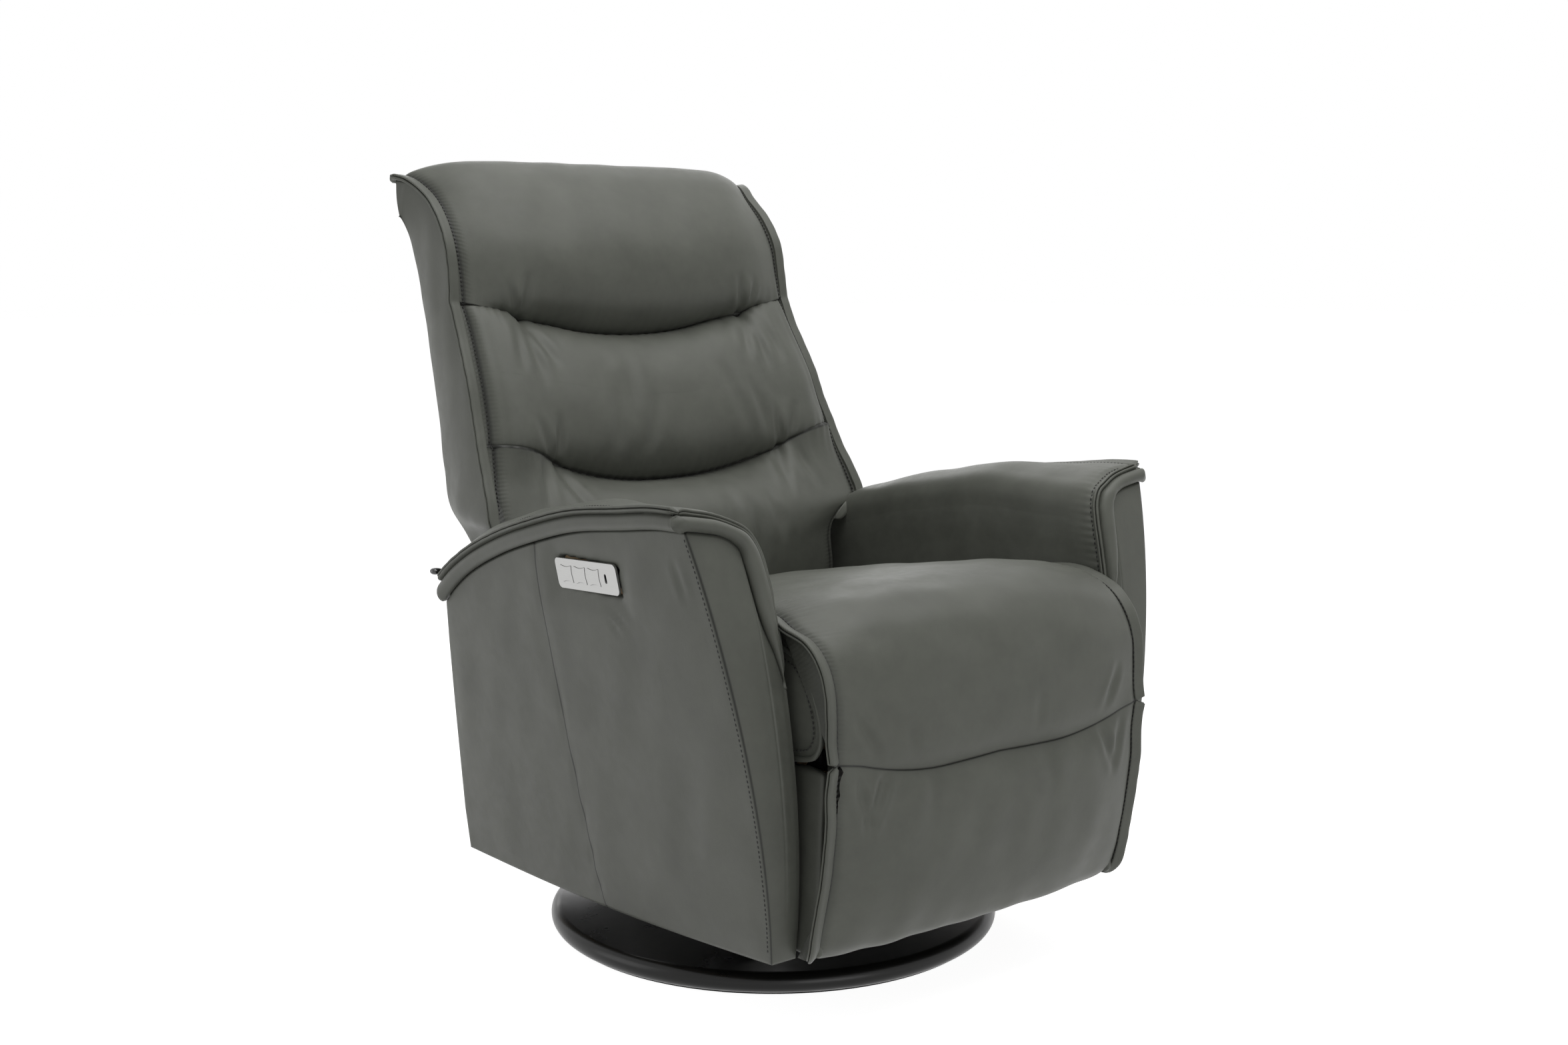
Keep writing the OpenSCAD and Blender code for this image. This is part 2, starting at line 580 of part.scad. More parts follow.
module control_button(i) color("silver") on_panel() translate([buttons[i], 0, 0]) {
    translate([0, 0, -0.4]) linear_extrude(panel_t + 0.9) button_shape(0.8);
    translate([0, 0, -0.4 - button_stem]) linear_extrude(button_stem) rounded(9, 9, 1);
}
module recline_button() control_button(0);
module upright_button() control_button(1);
module leg_rest_button() control_button(2);

// ---- back ----

// Places its children at the recline pivot, leaning with the back's posts
module along_back() translate([0, recline_y, deck + recline_z]) rotate([-post_lean, 0, 0]) children();
post_x = bracket_x;
// The head cushion fills the shell up to head_rim, then rolls over it to the rear
head_rim = back_top - 85;
post_below_rim = 65;
post_l = (head_rim - post_below_rim - recline_z) / cos(post_lean);
post_shift = 14;
bracket_h = 150;
module back_posts() color(plywood) both_sides() along_back()
    box([post_x, -post_d / 2 + post_shift, 28], [post_x + post_w, post_d / 2 + post_shift, post_l]);
module back_brackets() color(steel) both_sides() difference() {
    union() {
        along_back() box([bracket_x - plate_t, -post_d / 2 + post_shift, 0],
            [bracket_x, post_d / 2 + post_shift, bracket_h]);
        on_deck() rod_x(bracket_x - plate_t, bracket_x, recline_y, recline_z, 2 * ear_r);
    }
    on_deck() rod_x(bracket_x - plate_t - 1, bracket_x + 1, recline_y, recline_z, pin_d + 2 * run_fit);
}
back_rail_h = 60;
rail_heights = [40, post_l * 0.5, post_l - back_rail_h];
// A back rail reaches the brackets at its height, or the posts above them
function back_rail_w(h) = h < bracket_h ? bracket_x - plate_t : post_x;
module back_rails() color(plywood) along_back() for (h = rail_heights)
    box([-back_rail_w(h), post_shift - 2, h], [back_rail_w(h), post_shift + 18, h + back_rail_h]);
web_w = 50;
module back_webbing() color(black) along_back() for (x = [-2:2])
    box([x * 85 - web_w / 2, post_shift - 2 - strap_t, rail_heights[0]],
        [x * 85 + web_w / 2, post_shift - 2, post_l]);

// The line of the back's side flange and its rear corner, by height above the turntable
flange = [[recline_z - 10, 163], [shoulder_z - 14, 176], [shoulder_z, 190], [558, 230], [634, 268], [712, 305],
          [790, 345], [872, 357], [920, 380], [946, 411], [968, 464]];
rear_line = [[recline_z - 10, 290], [shoulder_z - 14, 366], [542, 391], [653, 424], [775, 458], [888, 488],
             [946, 496], [968, 480]];
function back_half(z) = lookup(z, [[shoulder_z - 14, back_core_w], [shoulder_z, back_w], [700, back_w - 14],
    [832, back_w - 24], [946, back_w - 18], [968, back_w - 8]]);
function flange_y(z) = lookup(z, flange);
function rear_y(z) = lookup(z, rear_line);
// The wall of the shell is thinner between the arms, where the posts stand beside it
function cavity_w(z) = max(post_x + post_w + 0.5, back_half(z) - shell_t);
function shell_corner(z) = back_half(z) - cavity_w(z) < shell_t - 1 ? shell_t - 2 : 2 * shell_t;
function shell_ring(z) = let (w = back_half(z), f = flange_y(z), r = rear_y(z), c = shell_corner(z))
    [for (p = concat([[-w, f], [w, f]],
        [for (a = [0:22.5:90]) [w - c + c * cos(a), r - c + c * sin(a)]],
        [for (a = [90:22.5:180]) [-w + c + c * cos(a), r - c + c * sin(a)]])) [p[0], p[1], z]];
function cavity_ring(z, over) = let (w = cavity_w(z), r = rear_y(z) - shell_t)
    [[-w, 0, z + over], [w, 0, z + over], [w, r, z + over], [-w, r, z + over]];
shell_heights = [recline_z - 10, 380, shoulder_z - 14, shoulder_z, 560, 640, 720, 800, 872, head_rim - 2];
module back_shell() color(leather) on_deck() difference() {
    skin([for (z = shell_heights) shell_ring(z)]);
    skin([for (i = [0:len(shell_heights) - 1]) cavity_ring(shell_heights[i],
        i == 0 ? -1 : i == len(shell_heights) - 1 ? 1 : 0)]);
}

// A cushion's outline at one height: bulging before the flange line, flat behind
function post_face(z) = recline_y + (z - recline_z) * tan(post_lean) + (post_shift - post_d / 2) / cos(post_lean);
function cushion_ring(z, bulge) = let (w = cavity_w(z) - 0.5, f = flange_y(z), r = post_face(z) - 0.5)
    [for (p = concat([for (i = [-6:6]) [w * i / 6, f - bulge * (1 - pow(abs(i / 6), 3))]], [[w, r], [-w, r]]))
        [p[0], p[1], z]];
// Heights from z0 to z1 that follow the shell's own rings, with two more between each pair
function ring_heights(z0, z1) = let (s = concat([z0], [for (z = shell_heights) if (z > z0 && z < z1) z], [z1]))
    concat([for (i = [0:len(s) - 2], t = [0:2]) mix(s[i], s[i + 1], t / 3)], [z1]);
module back_cushion(z0, z1, bulge) color(leather) on_deck() skin([for (z = ring_heights(z0, z1))
    cushion_ring(z, bulge * sin(mix(8, 172, (z - z0) / (z1 - z0))))]);
lumbar_top = 568;
middle_top = 775;
module lumbar_cushion() back_cushion(recline_z + ear_r + 3, lumbar_top - 1, crown * 0.6);
module middle_cushion() back_cushion(lumbar_top + 1, middle_top - 1, crown);
head_crest_y = 440;
head_front = curve([[middle_top + 1, flange_y(middle_top)], [middle_top + 74, flange_y(middle_top) - 1.8 * crown],
    [back_top - 30, flange_y(middle_top) + crown], [back_top, head_crest_y]], 12);
head_heights = concat([for (i = [0:4]) mix(middle_top + 1, head_rim - 1, i / 4)],
    [for (i = [0:7]) mix(head_rim, back_top, sin(90 * i / 7))]);
function head_ring(z) = let (up = max(0, (z - head_rim) / (back_top - head_rim)), f = lookup(z, head_front),
        w = z < head_rim ? cavity_w(z) - 0.5 : back_half(z) * (1 - 0.22 * pow(up, 3)),
        r = z < head_rim ? post_face(z) - 0.5 : head_crest_y + 5 + 48 * sqrt(1 - up * up))
    [for (p = concat([for (i = [-6:6]) [w * i / 6, f + 30 * pow(abs(i / 6), 4) * (r - f) / 160]], [[w, r], [-w, r]]))
        [p[0], p[1], z]];
module head_cushion() color(leather) on_deck() skin([for (z = head_heights) head_ring(z)]);

lever_y = 316;
lever_z = 417;
lever_d = 8;
module release_lever() color(black) on_deck() mirror([1, 0, 0]) {
    rod_x(back_core_w + 0.3, back_core_w + 78, lever_y, lever_z, lever_d);
    translate([back_core_w + 84, lever_y + 4, lever_z]) sphere(d = 18, $fn = 32);
}

// ---- leg rest ----

// A slotted arm that hangs from a shaft and leans back by half of its swing; its pin is h below
module crank(x, y, z, h, half) translate([x - crank_t / 2, y, z]) rotate([half, 0, 0]) difference() {
    union() {
        slab_x(0, crank_t) translate([-crank_w / 2, -h / cos(half) - 18]) square([crank_w, h / cos(half) + 18]);
        rod_x(0, crank_t, 0, 0, crank_w);
    }
    slab_x(-1, crank_t + 1) crank_slot(h, half);
}
slot_play = 2.2;
module crank_slot(h, half) {
    w = rod_pin_d + 2 * slot_play;
    translate([-w / 2, -h / cos(half)]) square([w, h / cos(half) - h]);
    for (z = [h, h / cos(half)]) translate([0, -z]) circle(d = w, $fn = 32);
}
knee_half = knee_swing / 2;
recline_half = recline_swing / 2;
module knee_shaft() color(zinc) on_deck() {
    rod_x(-plate_x - plate_t, plate_x + plate_t, -knee_y, knee_z, pin_d);
    crank(drive_x, -knee_y, knee_z, knee_crank, knee_half);
}
shaft_r = pin_d / 2 + 5;
module back_crank() color(steel) on_deck() difference() {
    union() {
        rod_x(-bracket_x + plate_t, bracket_x - plate_t, recline_y, recline_z, 2 * shaft_r);
        crank(-drive_x, recline_y, recline_z, recline_crank, recline_half);
    }
    rod_x(-bracket_x, bracket_x, recline_y, recline_z, pin_d + 1);
}
link_x1 = bracket_x;
link_x0 = link_x1 - plate_t;
link_d = 20;
shin_len = norm([shin_y - knee_y, knee_z - shin_z]);
shin_angle = atan2(knee_z - shin_z, shin_y - knee_y);
module knee_links() color(steel) both_sides() on_deck() difference() {
    union() {
        for (p = [[-knee_y, knee_z], [-shin_y, shin_z]]) rod_x(link_x0, link_x1, p[0], p[1], link_d);
        translate([link_x0, -knee_y, knee_z]) rotate([shin_angle, 0, 0]) box([0, -shin_len, -link_d / 2], [plate_t, 0, link_d / 2]);
    }
    rod_x(link_x0 - 1, link_x1 + 1, -knee_y, knee_z, pin_d);
    rod_x(link_x0 - 1, link_x1 + 1, -shin_y, shin_z, pin_d);
}
module knee_board() color(plywood) on_deck() translate([0, -knee_y, knee_z]) rotate([shin_angle, 0, 0])
    box([-link_x0, -shin_len + 24, -6], [link_x0, -24, 6]);

ear_x1 = link_x0 - side_gap;
ear_x0 = ear_x1 - plate_t;
board_top = shin_z - link_d / 2 - 7;
board_back = board_y - board_t;
module leg_pins() color(zinc) both_sides() on_deck() rod_x(ear_x0 - 3, link_x1, -shin_y, shin_z, pin_d);
module leg_brackets() color(steel) both_sides() on_deck() difference() {
    union() {
        rod_x(ear_x0, ear_x1, -shin_y, shin_z, link_d);
        slab_x(ear_x0, ear_x1) polygon([
            [-shin_y - link_d / 2, shin_z], [-shin_y - link_d / 2, board_top + 2], [-board_back, board_top + 2],
            [-board_back, board_top - 100], [-board_back + leg_box_d - 4, board_top - 100],
            [-board_back + leg_box_d - 4, board_top], [-shin_y + link_d / 2, shin_z]]);
    }
    rod_x(ear_x0 - 1, ear_x1 + 1, -shin_y, shin_z, pin_d + 2 * run_fit);
}
module leg_board() color(plywood) on_deck() box([-board_w, -board_y, board_low], [board_w, -board_back, board_top]);
leg_rail_w = 20;
leg_skin_t = 4;
module leg_box() color(black) on_deck() {
    both_sides() box([board_w - leg_rail_w, -board_back, board_low],
        [board_w, -board_back + leg_box_d - leg_skin_t, board_top - 5]);
    box([-board_w, -board_back + leg_box_d - leg_skin_t, board_low], [board_w, -board_back + leg_box_d, board_top - 5]);
}
pad_line = [[35, pad_front - 37], [73, pad_front - 23], [106, pad_front - 16], [140, pad_front - 9],
            [173, pad_front - 4], [206, pad_front], [seam_z - 3, pad_front]];
module leg_pad() color(leather) on_deck() skin([for (q = pad_line) concat(
    [for (i = [-6:6]) [pad_w * i / 6, -q[1] - 8 * (1 - pow(abs(i / 6), 4)), q[0]]],
    [[pad_w, -board_y - 0.3, q[0]], [-pad_w, -board_y - 0.3, q[0]]])]);

// ---- drives ----

module rod_y(y0, y1, x, z, d) translate([x, y1, z]) rotate([90, 0, 0]) cylinder(h = y1 - y0, d = d, $fn = 48);
fork_gap = 0.5;
fork_t = 6;
fork_back = 30;
// A push rod along Y whose fork holds a pin at pin_y; dir is 1 where the rod points to the rear
module push_rod(x, z, pin_y, dir, length) {
    low = fork_back + 6;
    translate([x, pin_y, z]) mirror([0, dir > 0 ? 0 : 1, 0]) {
        rod_y(-length, -low, 0, 0, rod_d);
        box([-crank_t / 2 - fork_gap - fork_t, -low, -10], [crank_t / 2 + fork_gap + fork_t, -fork_back, 10]);
        for (side = [-1, 1]) translate([side * (crank_t / 2 + fork_gap + fork_t / 2), 0, 0])
            box([-fork_t / 2, -fork_back, -10], [fork_t / 2, 9, 10]);
        rod_x(-crank_t / 2 - fork_gap - fork_t, crank_t / 2 + fork_gap + fork_t, 0, 0, rod_pin_d);
    }
}
module drive_body(x, z, y0, y1, tube_y0, tube_y1, bore_y0, bore_y1, post_y) difference() {
    union() {
        box([x - 35, y0, z - 38], [x + 35, y1, z + 20]);
        rod_y(tube_y0, tube_y1, x, z, drive_tube_d);
        box([x - 15, post_y - 12, plate_z], [x + 15, post_y + 12, z]);
    }
    rod_y(bore_y0, bore_y1, x, z, rod_d + 2 * run_fit);
}
recline_pin_z = recline_z - recline_crank;
recline_pin_y = recline_y + recline_crank * tan(recline_half);
recline_stroke = 2 * recline_crank * tan(recline_half);
knee_pin_z = knee_z - knee_crank;
knee_pin_y = -knee_y + knee_crank * tan(knee_half);
knee_stroke = 2 * knee_crank * tan(knee_half);
recline_tube_end = recline_pin_y - recline_stroke - fork_back - 16;
knee_tube_end = knee_pin_y + fork_back + 10;
rod_grip = 60;
module recline_drive() color(black) on_deck() drive_body(-drive_x, recline_pin_z, -cross_front, -cross_front + 95,
    -cross_front, recline_tube_end, recline_pin_y - 250, recline_tube_end + 1, -cross_front);
module recline_rod() color(zinc) on_deck()
    push_rod(-drive_x, recline_pin_z, recline_pin_y, 1, recline_stroke + fork_back + 16 + rod_grip);
module leg_rest_drive() color(black) on_deck() drive_body(drive_x, knee_pin_z, cross_rear - 95, cross_rear,
    knee_tube_end, cross_rear, knee_tube_end - 1, knee_tube_end + knee_stroke + 2 * rod_grip, cross_rear);
module leg_rest_rod() color(zinc) on_deck()
    push_rod(drive_x, knee_pin_z, knee_pin_y, -1, knee_stroke + fork_back + 10 + rod_grip);

felt_floor_pad();
wooden_foot();
swivel_hub();
hub_screws();
thrust_washer();
turntable();
swivel_spindle();
spindle_ring();
rail_bolts();
chassis_rails();
front_cross_tube();
rear_cross_tube();
side_plates();
recline_pins();
seat_side_rails();
seat_front_rail();
seat_rear_rail();
seat_webbing();
seat_cushion();
knee_roll();
left_arm_board();
right_arm_board();
arm_brackets();
left_arm_side_pad();
right_arm_side_pad();
left_arm_front_pad();
right_arm_front_pad();
left_arm_inner_pad();
right_arm_inner_pad();
arm_bolts();
rear_cover();
power_box();
control_plate();
control_housing();
usb_port();
recline_button();
upright_button();
leg_rest_button();
back_brackets();
back_posts();
back_rails();
back_webbing();
back_crank();
back_shell();
lumbar_cushion();
middle_cushion();
head_cushion();
release_lever();
knee_shaft();
knee_links();
knee_board();
leg_pins();
leg_brackets();
leg_board();
leg_box();
leg_pad();
recline_drive();
recline_rod();
leg_rest_drive();
leg_rest_rod();
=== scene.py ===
"""Recliner armchair: the leather covers, welts, stitches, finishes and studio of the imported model."""
import math

import bmesh
import bpy
import numpy as np
from mathutils import Matrix, Vector


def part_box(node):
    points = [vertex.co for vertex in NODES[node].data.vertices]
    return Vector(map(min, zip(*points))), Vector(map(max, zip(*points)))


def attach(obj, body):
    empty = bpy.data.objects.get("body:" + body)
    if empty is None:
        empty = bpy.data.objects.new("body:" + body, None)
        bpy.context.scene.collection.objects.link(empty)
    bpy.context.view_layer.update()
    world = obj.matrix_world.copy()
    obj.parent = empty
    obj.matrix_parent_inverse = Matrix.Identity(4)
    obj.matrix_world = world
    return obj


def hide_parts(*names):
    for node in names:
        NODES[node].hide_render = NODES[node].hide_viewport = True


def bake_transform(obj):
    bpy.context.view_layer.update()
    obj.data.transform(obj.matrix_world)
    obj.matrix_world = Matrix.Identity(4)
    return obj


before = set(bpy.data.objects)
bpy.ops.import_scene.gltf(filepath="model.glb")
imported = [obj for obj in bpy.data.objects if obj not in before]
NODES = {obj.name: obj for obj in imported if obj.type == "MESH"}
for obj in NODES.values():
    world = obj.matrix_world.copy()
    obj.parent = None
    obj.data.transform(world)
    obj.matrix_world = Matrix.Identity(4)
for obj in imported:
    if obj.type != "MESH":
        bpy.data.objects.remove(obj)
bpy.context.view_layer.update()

bl_info = {
    "name": "Recliner armchair",
    "version": (1, 0, 0),
    "blender": (4, 5, 0),
    "location": "3D View > Sidebar > Chair",
    "description": "Dresses the recliner armchair in leather and sets up its studio",
    "category": "Add Mesh",
}

SIDES = ((-1, "right"), (1, "left"))
WHITE = (1.0, 1.0, 1.0, 1.0)
# The step, as a share, over which a skin's slopes are measured
STEP = 2e-3
# Half-widths of the back and the seat, that distances from their stitched edges are counted over
BACK_HALF = 0.31
SEAT_HALF = 0.27
# How deep the stitches lie in their groove
STITCH_SINK = 0.0014


# ---- Sizes and colours a user may change ----

class ChairSizes(bpy.types.PropertyGroup):
    """Sizes of the leatherwork"""
    welt_depth: bpy.props.FloatProperty(
        name="Welt depth", description="How far a welt stands out of its seam", default=0.012, unit="LENGTH")
    welt_width: bpy.props.FloatProperty(
        name="Welt width", description="Width of a welt across both of its lips", default=0.0085,
        unit="LENGTH")
    stitch_pitch: bpy.props.FloatProperty(
        name="Stitch pitch", description="Distance from one stitch to the next", default=0.0062,
        unit="LENGTH")
    stitch_inset: bpy.props.FloatProperty(
        name="Stitch inset", description="Distance from a welt to its line of stitches", default=0.0075,
        unit="LENGTH")


class ChairColours(bpy.types.PropertyGroup):
    """Colours of the finishes"""
    leather: bpy.props.FloatVectorProperty(
        name="Leather", description="Colour of the leather", subtype="COLOR", size=3,
        default=(0.1, 0.1045, 0.0885))
    thread: bpy.props.FloatVectorProperty(
        name="Thread", description="Colour of the stitches", subtype="COLOR", size=3,
        default=(0.018, 0.018, 0.017))
    lacquer: bpy.props.FloatVectorProperty(
        name="Lacquer", description="Colour of the foot", subtype="COLOR", size=3,
        default=(0.006, 0.006, 0.0055))
    floor_glow: bpy.props.FloatProperty(
        name="Floor glow", description="Light that the floor adds for the camera, so that it looks white",
        default=0.93, min=0.0, max=1.0)
    backdrop: bpy.props.FloatVectorProperty(
        name="Backdrop", description="Colour of the floor and of the room", subtype="COLOR", size=3,
        default=(1.0, 1.0, 1.0))


def sizes():
    return bpy.context.scene.chair_sizes


def colours():
    return bpy.context.scene.chair_colours


# ---- Smooth curves and skins ----

def smooth(knots, values, at):
    """Reads a smooth curve through a few knots at the places given."""
    t = np.asarray(knots, float)
    p = np.asarray(values, float)
    single = p.ndim == 1
    if single:
        p = p[:, None]
    step = np.diff(t)[:, None]
    slope = np.diff(p, axis=0) / step
    inner = (step[1:] * slope[:-1] + step[:-1] * slope[1:]) / (step[1:] + step[:-1])
    tangent = np.vstack([slope[:1], inner, slope[-1:]])
    at = np.clip(np.atleast_1d(np.asarray(at, float)), t[0], t[-1])
    i = np.clip(np.searchsorted(t, at, side="right") - 1, 0, len(t) - 2)
    h = step[i]
    f = (at - t[i])[:, None] / h
    rise = p[i + 1] - p[i]
    start = tangent[i] * h
    end = tangent[i + 1] * h
    out = p[i] + f * start + f * f * (3 * rise - 2 * start - end) + f ** 3 * (start + end - 2 * rise)
    return out[:, 0] if single else out


def runs_of(points):
    """The length of a line up to each of its points."""
    return np.r_[0, np.cumsum(np.linalg.norm(np.diff(np.asarray(points, float), axis=0), axis=1))]


def shares(points):
    """The share of a curve's length at each of its points."""
    run = runs_of(points)
    return run / run[-1]


def curve(points, at):
    """A smooth curve through points, read at shares of its length."""
    return smooth(shares(points), points, at)


def bezier(points, at):
    """A cubic Bezier curve."""
    a, b, c, d = (np.asarray(p, float) for p in points)
    t = np.atleast_1d(np.asarray(at, float))[:, None]
    return a * (1 - t) ** 3 + 3 * b * t * (1 - t) ** 2 + 3 * c * t * t * (1 - t) + d * t ** 3


def ease(v, amount):
    """Moves evenly spaced shares towards both ends, so that rows lie closer there."""
    return v - amount * np.sin(2 * math.pi * v) / (2 * math.pi)


def crowd(s, amount):
    """The same for shares from -1 to 1."""
    return (1 - amount) * s + amount * np.sin(s * math.pi / 2)


def mix(a, b, f):
    return a + (b - a) * f


def held(v):
    """Values held between 0 and 1."""
    return np.clip(v, 0, 1)


def columns(*parts):
    return np.column_stack(parts)


def unit(v):
    return v / np.maximum(np.linalg.norm(v, axis=1, keepdims=True), 1e-9)


def slopes(place, u, v, low=0, high=1):
    """How the points of a skin move with u, which goes from low to 1, and with v, from 0 to high."""
    across = place(np.clip(u + STEP, low, 1), v) - place(np.clip(u - STEP, low, 1), v)
    along = place(u, np.clip(v + STEP, 0, high)) - place(u, np.clip(v - STEP, 0, high))
    return across, along


def facing(place, u, v, turn=1, low=0, high=1):
    """Directions square to a skin at u, v."""
    return unit(turn * np.cross(*slopes(place, u, v, low, high)))


def sided(place, side):
    """A skin made for +x, mirrored where the side is -1."""
    def placed(u, v):
        spot = place(u, v)
        spot[:, 0] *= side
        return spot
    return placed


def mirrored(points, side):
    return points * np.array([side, 1.0, 1.0])


def edge_of(panel, s, side, inset=0.0, half=BACK_HALF, high=3, turn=1):
    """Points, normals and directions along a panel's edge, in the groove of the stitches if inset."""
    u = np.full(len(s), side * (1 - inset / half))
    across, along = slopes(panel, u, s, -1, high)
    normal = unit(turn * np.cross(across, along))
    return panel(u, s) - normal * (STITCH_SINK if inset else 0.0), normal, unit(along)


def valley(gap):
    """Depth of the groove that a row of stitches draws, at a distance from the panel's edge."""
    off = gap - sizes().stitch_inset
    return 0.0026 * np.exp(-(off / np.where(off > 0, 0.0075, 0.0035)) ** 2)


def ripple(a, b, seed, waves=10, short=0.05, long=0.16):
    """A soft seeded unevenness between about -1 and 1."""
    pick = np.random.default_rng(seed)
    total = np.zeros(len(a))
    for turn, length, phase in zip(pick.uniform(0, math.pi, waves), pick.uniform(short, long, waves),
                                   pick.uniform(0, 2 * math.pi, waves)):
        total += np.sin((a * math.cos(turn) + b * math.sin(turn)) * 2 * math.pi / length + phase)
    return total / math.sqrt(waves)


def creases(a, b, folds):
    """Lift of a panel at a, b from its folds, each (a, b, degrees from b, length, width, depth)."""
    total = np.zeros(len(a))
    for fa, fb, turn, length, width, depth in folds:
        c, s = math.cos(math.radians(turn)), math.sin(math.radians(turn))
        da, db = a - fa, b - fb
        run = (da * s + db * c) / (length / 2)
        off = (da * c - db * s) / width
        fade = held(1 - run * run) ** 1.5
        total -= depth * fade * (np.exp(-off * off) - 0.4 * np.exp(-(np.abs(off) - 1.9) ** 2))
    return total


def new_piece(name, bm, body, finish="leather"):
    """Makes an object of a bmesh with a finish and a slot, and lets it ride on a body if one is named."""
    mesh = bpy.data.meshes.new(name)
    bm.to_mesh(mesh)
    bm.free()
    mesh.materials.append(finish_of(finish))
    mesh.shade_smooth()
    piece = bpy.data.objects.new(name, mesh)
    bpy.context.scene.collection.objects.link(piece)
    if body:
        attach(piece, body)
    return piece


def skin(across, along, place, seam=None, closed=True, plain=None):
    """A grid moved to place(u, v). seam(u, v) gives the distance from a stitched seam and the run along it,
    plain(u, v) the signed distance from a plain one. Both are kept for the leather's shader."""
    bm = bmesh.new()
    bmesh.ops.create_grid(bm, x_segments=across, y_segments=along, size=0.5)
    at = np.array([v.co[:2] for v in bm.verts]) + 0.5
    spots = place(at[:, 0], at[:, 1])
    gap = bm.verts.layers.float.new("seam_gap")
    run = bm.verts.layers.float.new("seam_run")
    side = bm.verts.layers.float.new("plain_gap")
    gaps, runs = seam(at[:, 0], at[:, 1]) if seam else (np.full(len(at), 1.0), np.zeros(len(at)))
    sides = plain(at[:, 0], at[:, 1]) if plain else np.full(len(at), 1.0)
    for vert, spot, g, r, d in zip(bm.verts, spots, gaps, runs, sides):
        vert.co = spot
        vert[gap] = g
        vert[run] = r
        vert[side] = d
    if closed:
        bmesh.ops.remove_doubles(bm, verts=bm.verts, dist=2e-5)
        bmesh.ops.holes_fill(bm, edges=[e for e in bm.edges if e.is_boundary], sides=0)
    bmesh.ops.recalc_face_normals(bm, faces=bm.faces)
    return bm


# ---- Finishes ----

class Value:
    """A shader socket that takes part in sums."""

    def __init__(self, owner, socket):
        self.owner = owner
        self.socket = socket

    def maths(self, operation, *others):
        return self.owner.node("Math", {"operation": operation}, self, *others).out()

    def __add__(self, other):
        return self.maths("ADD", other)

    def __sub__(self, other):
        return self.maths("SUBTRACT", other)

    def __mul__(self, other):
        return self.maths("MULTIPLY", other)

    def __abs__(self):
        return self.maths("ABSOLUTE")


class Node:
    """A shader node and its outputs."""

    def __init__(self, owner, node):
        self.owner = owner
        self.node = node

    def out(self, name=0):
        return Value(self.owner, self.node.outputs[name])


class Shading:
    """A node tree in the making."""

    def __init__(self, tree):
        self.tree = tree

    def put(self, socket, value):
        if isinstance(value, Value):
            self.tree.links.new(value.socket, socket)
        else:
            socket.default_value = value

    def node(self, kind, settings=None, *values, **inputs):
        """A node of a type, with its settings set first, then its sockets."""
        made = self.tree.nodes.new("ShaderNode" + kind)
        for key, value in (settings or {}).items():
            setattr(made, key, value)
        for i, value in enumerate(values):
            self.put(made.inputs[i], value)
        for key, value in inputs.items():
            self.put(made.inputs[key.replace("_", " ")], value)
        return Node(self, made)

    def white_rays(self):
        """1 for the rays that see white all round: from the camera, off gloss and through glass."""
        path = self.node("LightPath")
        seen = path.out("Is Camera Ray").maths("MAXIMUM", path.out("Is Glossy Ray"))
        return seen.maths("MAXIMUM", path.out("Is Transmission Ray"))


class Finish(Shading):
    """A procedural material in the making."""

    def __init__(self, name, metallic=0.0, coat=0.0, sheen=0.0, specular=0.5):
        self.material = bpy.data.materials.new(name)
        self.material.use_nodes = True
        super().__init__(self.material.node_tree)
        self.shader = self.tree.nodes["Principled BSDF"]
        self.shader.inputs["Metallic"].default_value = metallic
        self.shader.inputs["Coat Weight"].default_value = coat
        self.shader.inputs["Sheen Weight"].default_value = sheen
        self.shader.inputs["Specular IOR Level"].default_value = specular
        self.place = self.node("TexCoord").out("Object")

    def noise(self, scale, detail=2.0, roughness=0.5, stretch=None):
        """A cloud texture, stretched by a scale for each axis if one is given."""
        place = self.node("Mapping", {}, Vector=self.place, Scale=stretch).out() if stretch else self.place
        return self.node("TexNoise", {}, Vector=place, Scale=scale, Detail=detail, Roughness=roughness).out()

    def cells(self, scale, output="Distance", **settings):
        return self.node("TexVoronoi", settings, Vector=self.place, Scale=scale).out(output)

    def attribute(self, name):
        return self.node("Attribute", {"attribute_name": name}).out("Fac")

    def blend(self, factor, a, b):
        """A colour between two others."""
        made = self.node("Mix", {"data_type": "RGBA"}).node
        self.put(made.inputs[0], factor)
        self.put(made.inputs[6], a)
        self.put(made.inputs[7], b)
        return Value(self, made.outputs[2])

    def span(self, value, low, high, to_low=0.0, to_high=1.0):
        """A value mapped from one span to another, and held inside it."""
        return self.node("MapRange", {"clamp": True}, value, low, high, to_low, to_high).out()

    def within(self, distance, reach):
        """1 at no distance, falling to 0 at the reach."""
        return self.span(distance, 0.0, reach, 1.0, 0.0)

    def finish(self, colour, roughness, height=None, distance=0.001, strength=1.0):
        self.put(self.shader.inputs["Base Color"], colour)
        self.put(self.shader.inputs["Roughness"], roughness)
        if height is not None:
            bump = self.node("Bump", {}, Strength=strength, Distance=distance, Height=height)
            self.put(self.shader.inputs["Normal"], bump.out("Normal"))
        return self.material


def rgba(colour, scale=1.0):
    return (*(c * scale for c in colour), 1.0)


FINISHES = {}


def finish_of(name):
    """The material of a slot, made when it is first asked for."""
    if name not in FINISHES:
        FINISHES[name] = MAKERS[name]()
    return FINISHES[name]


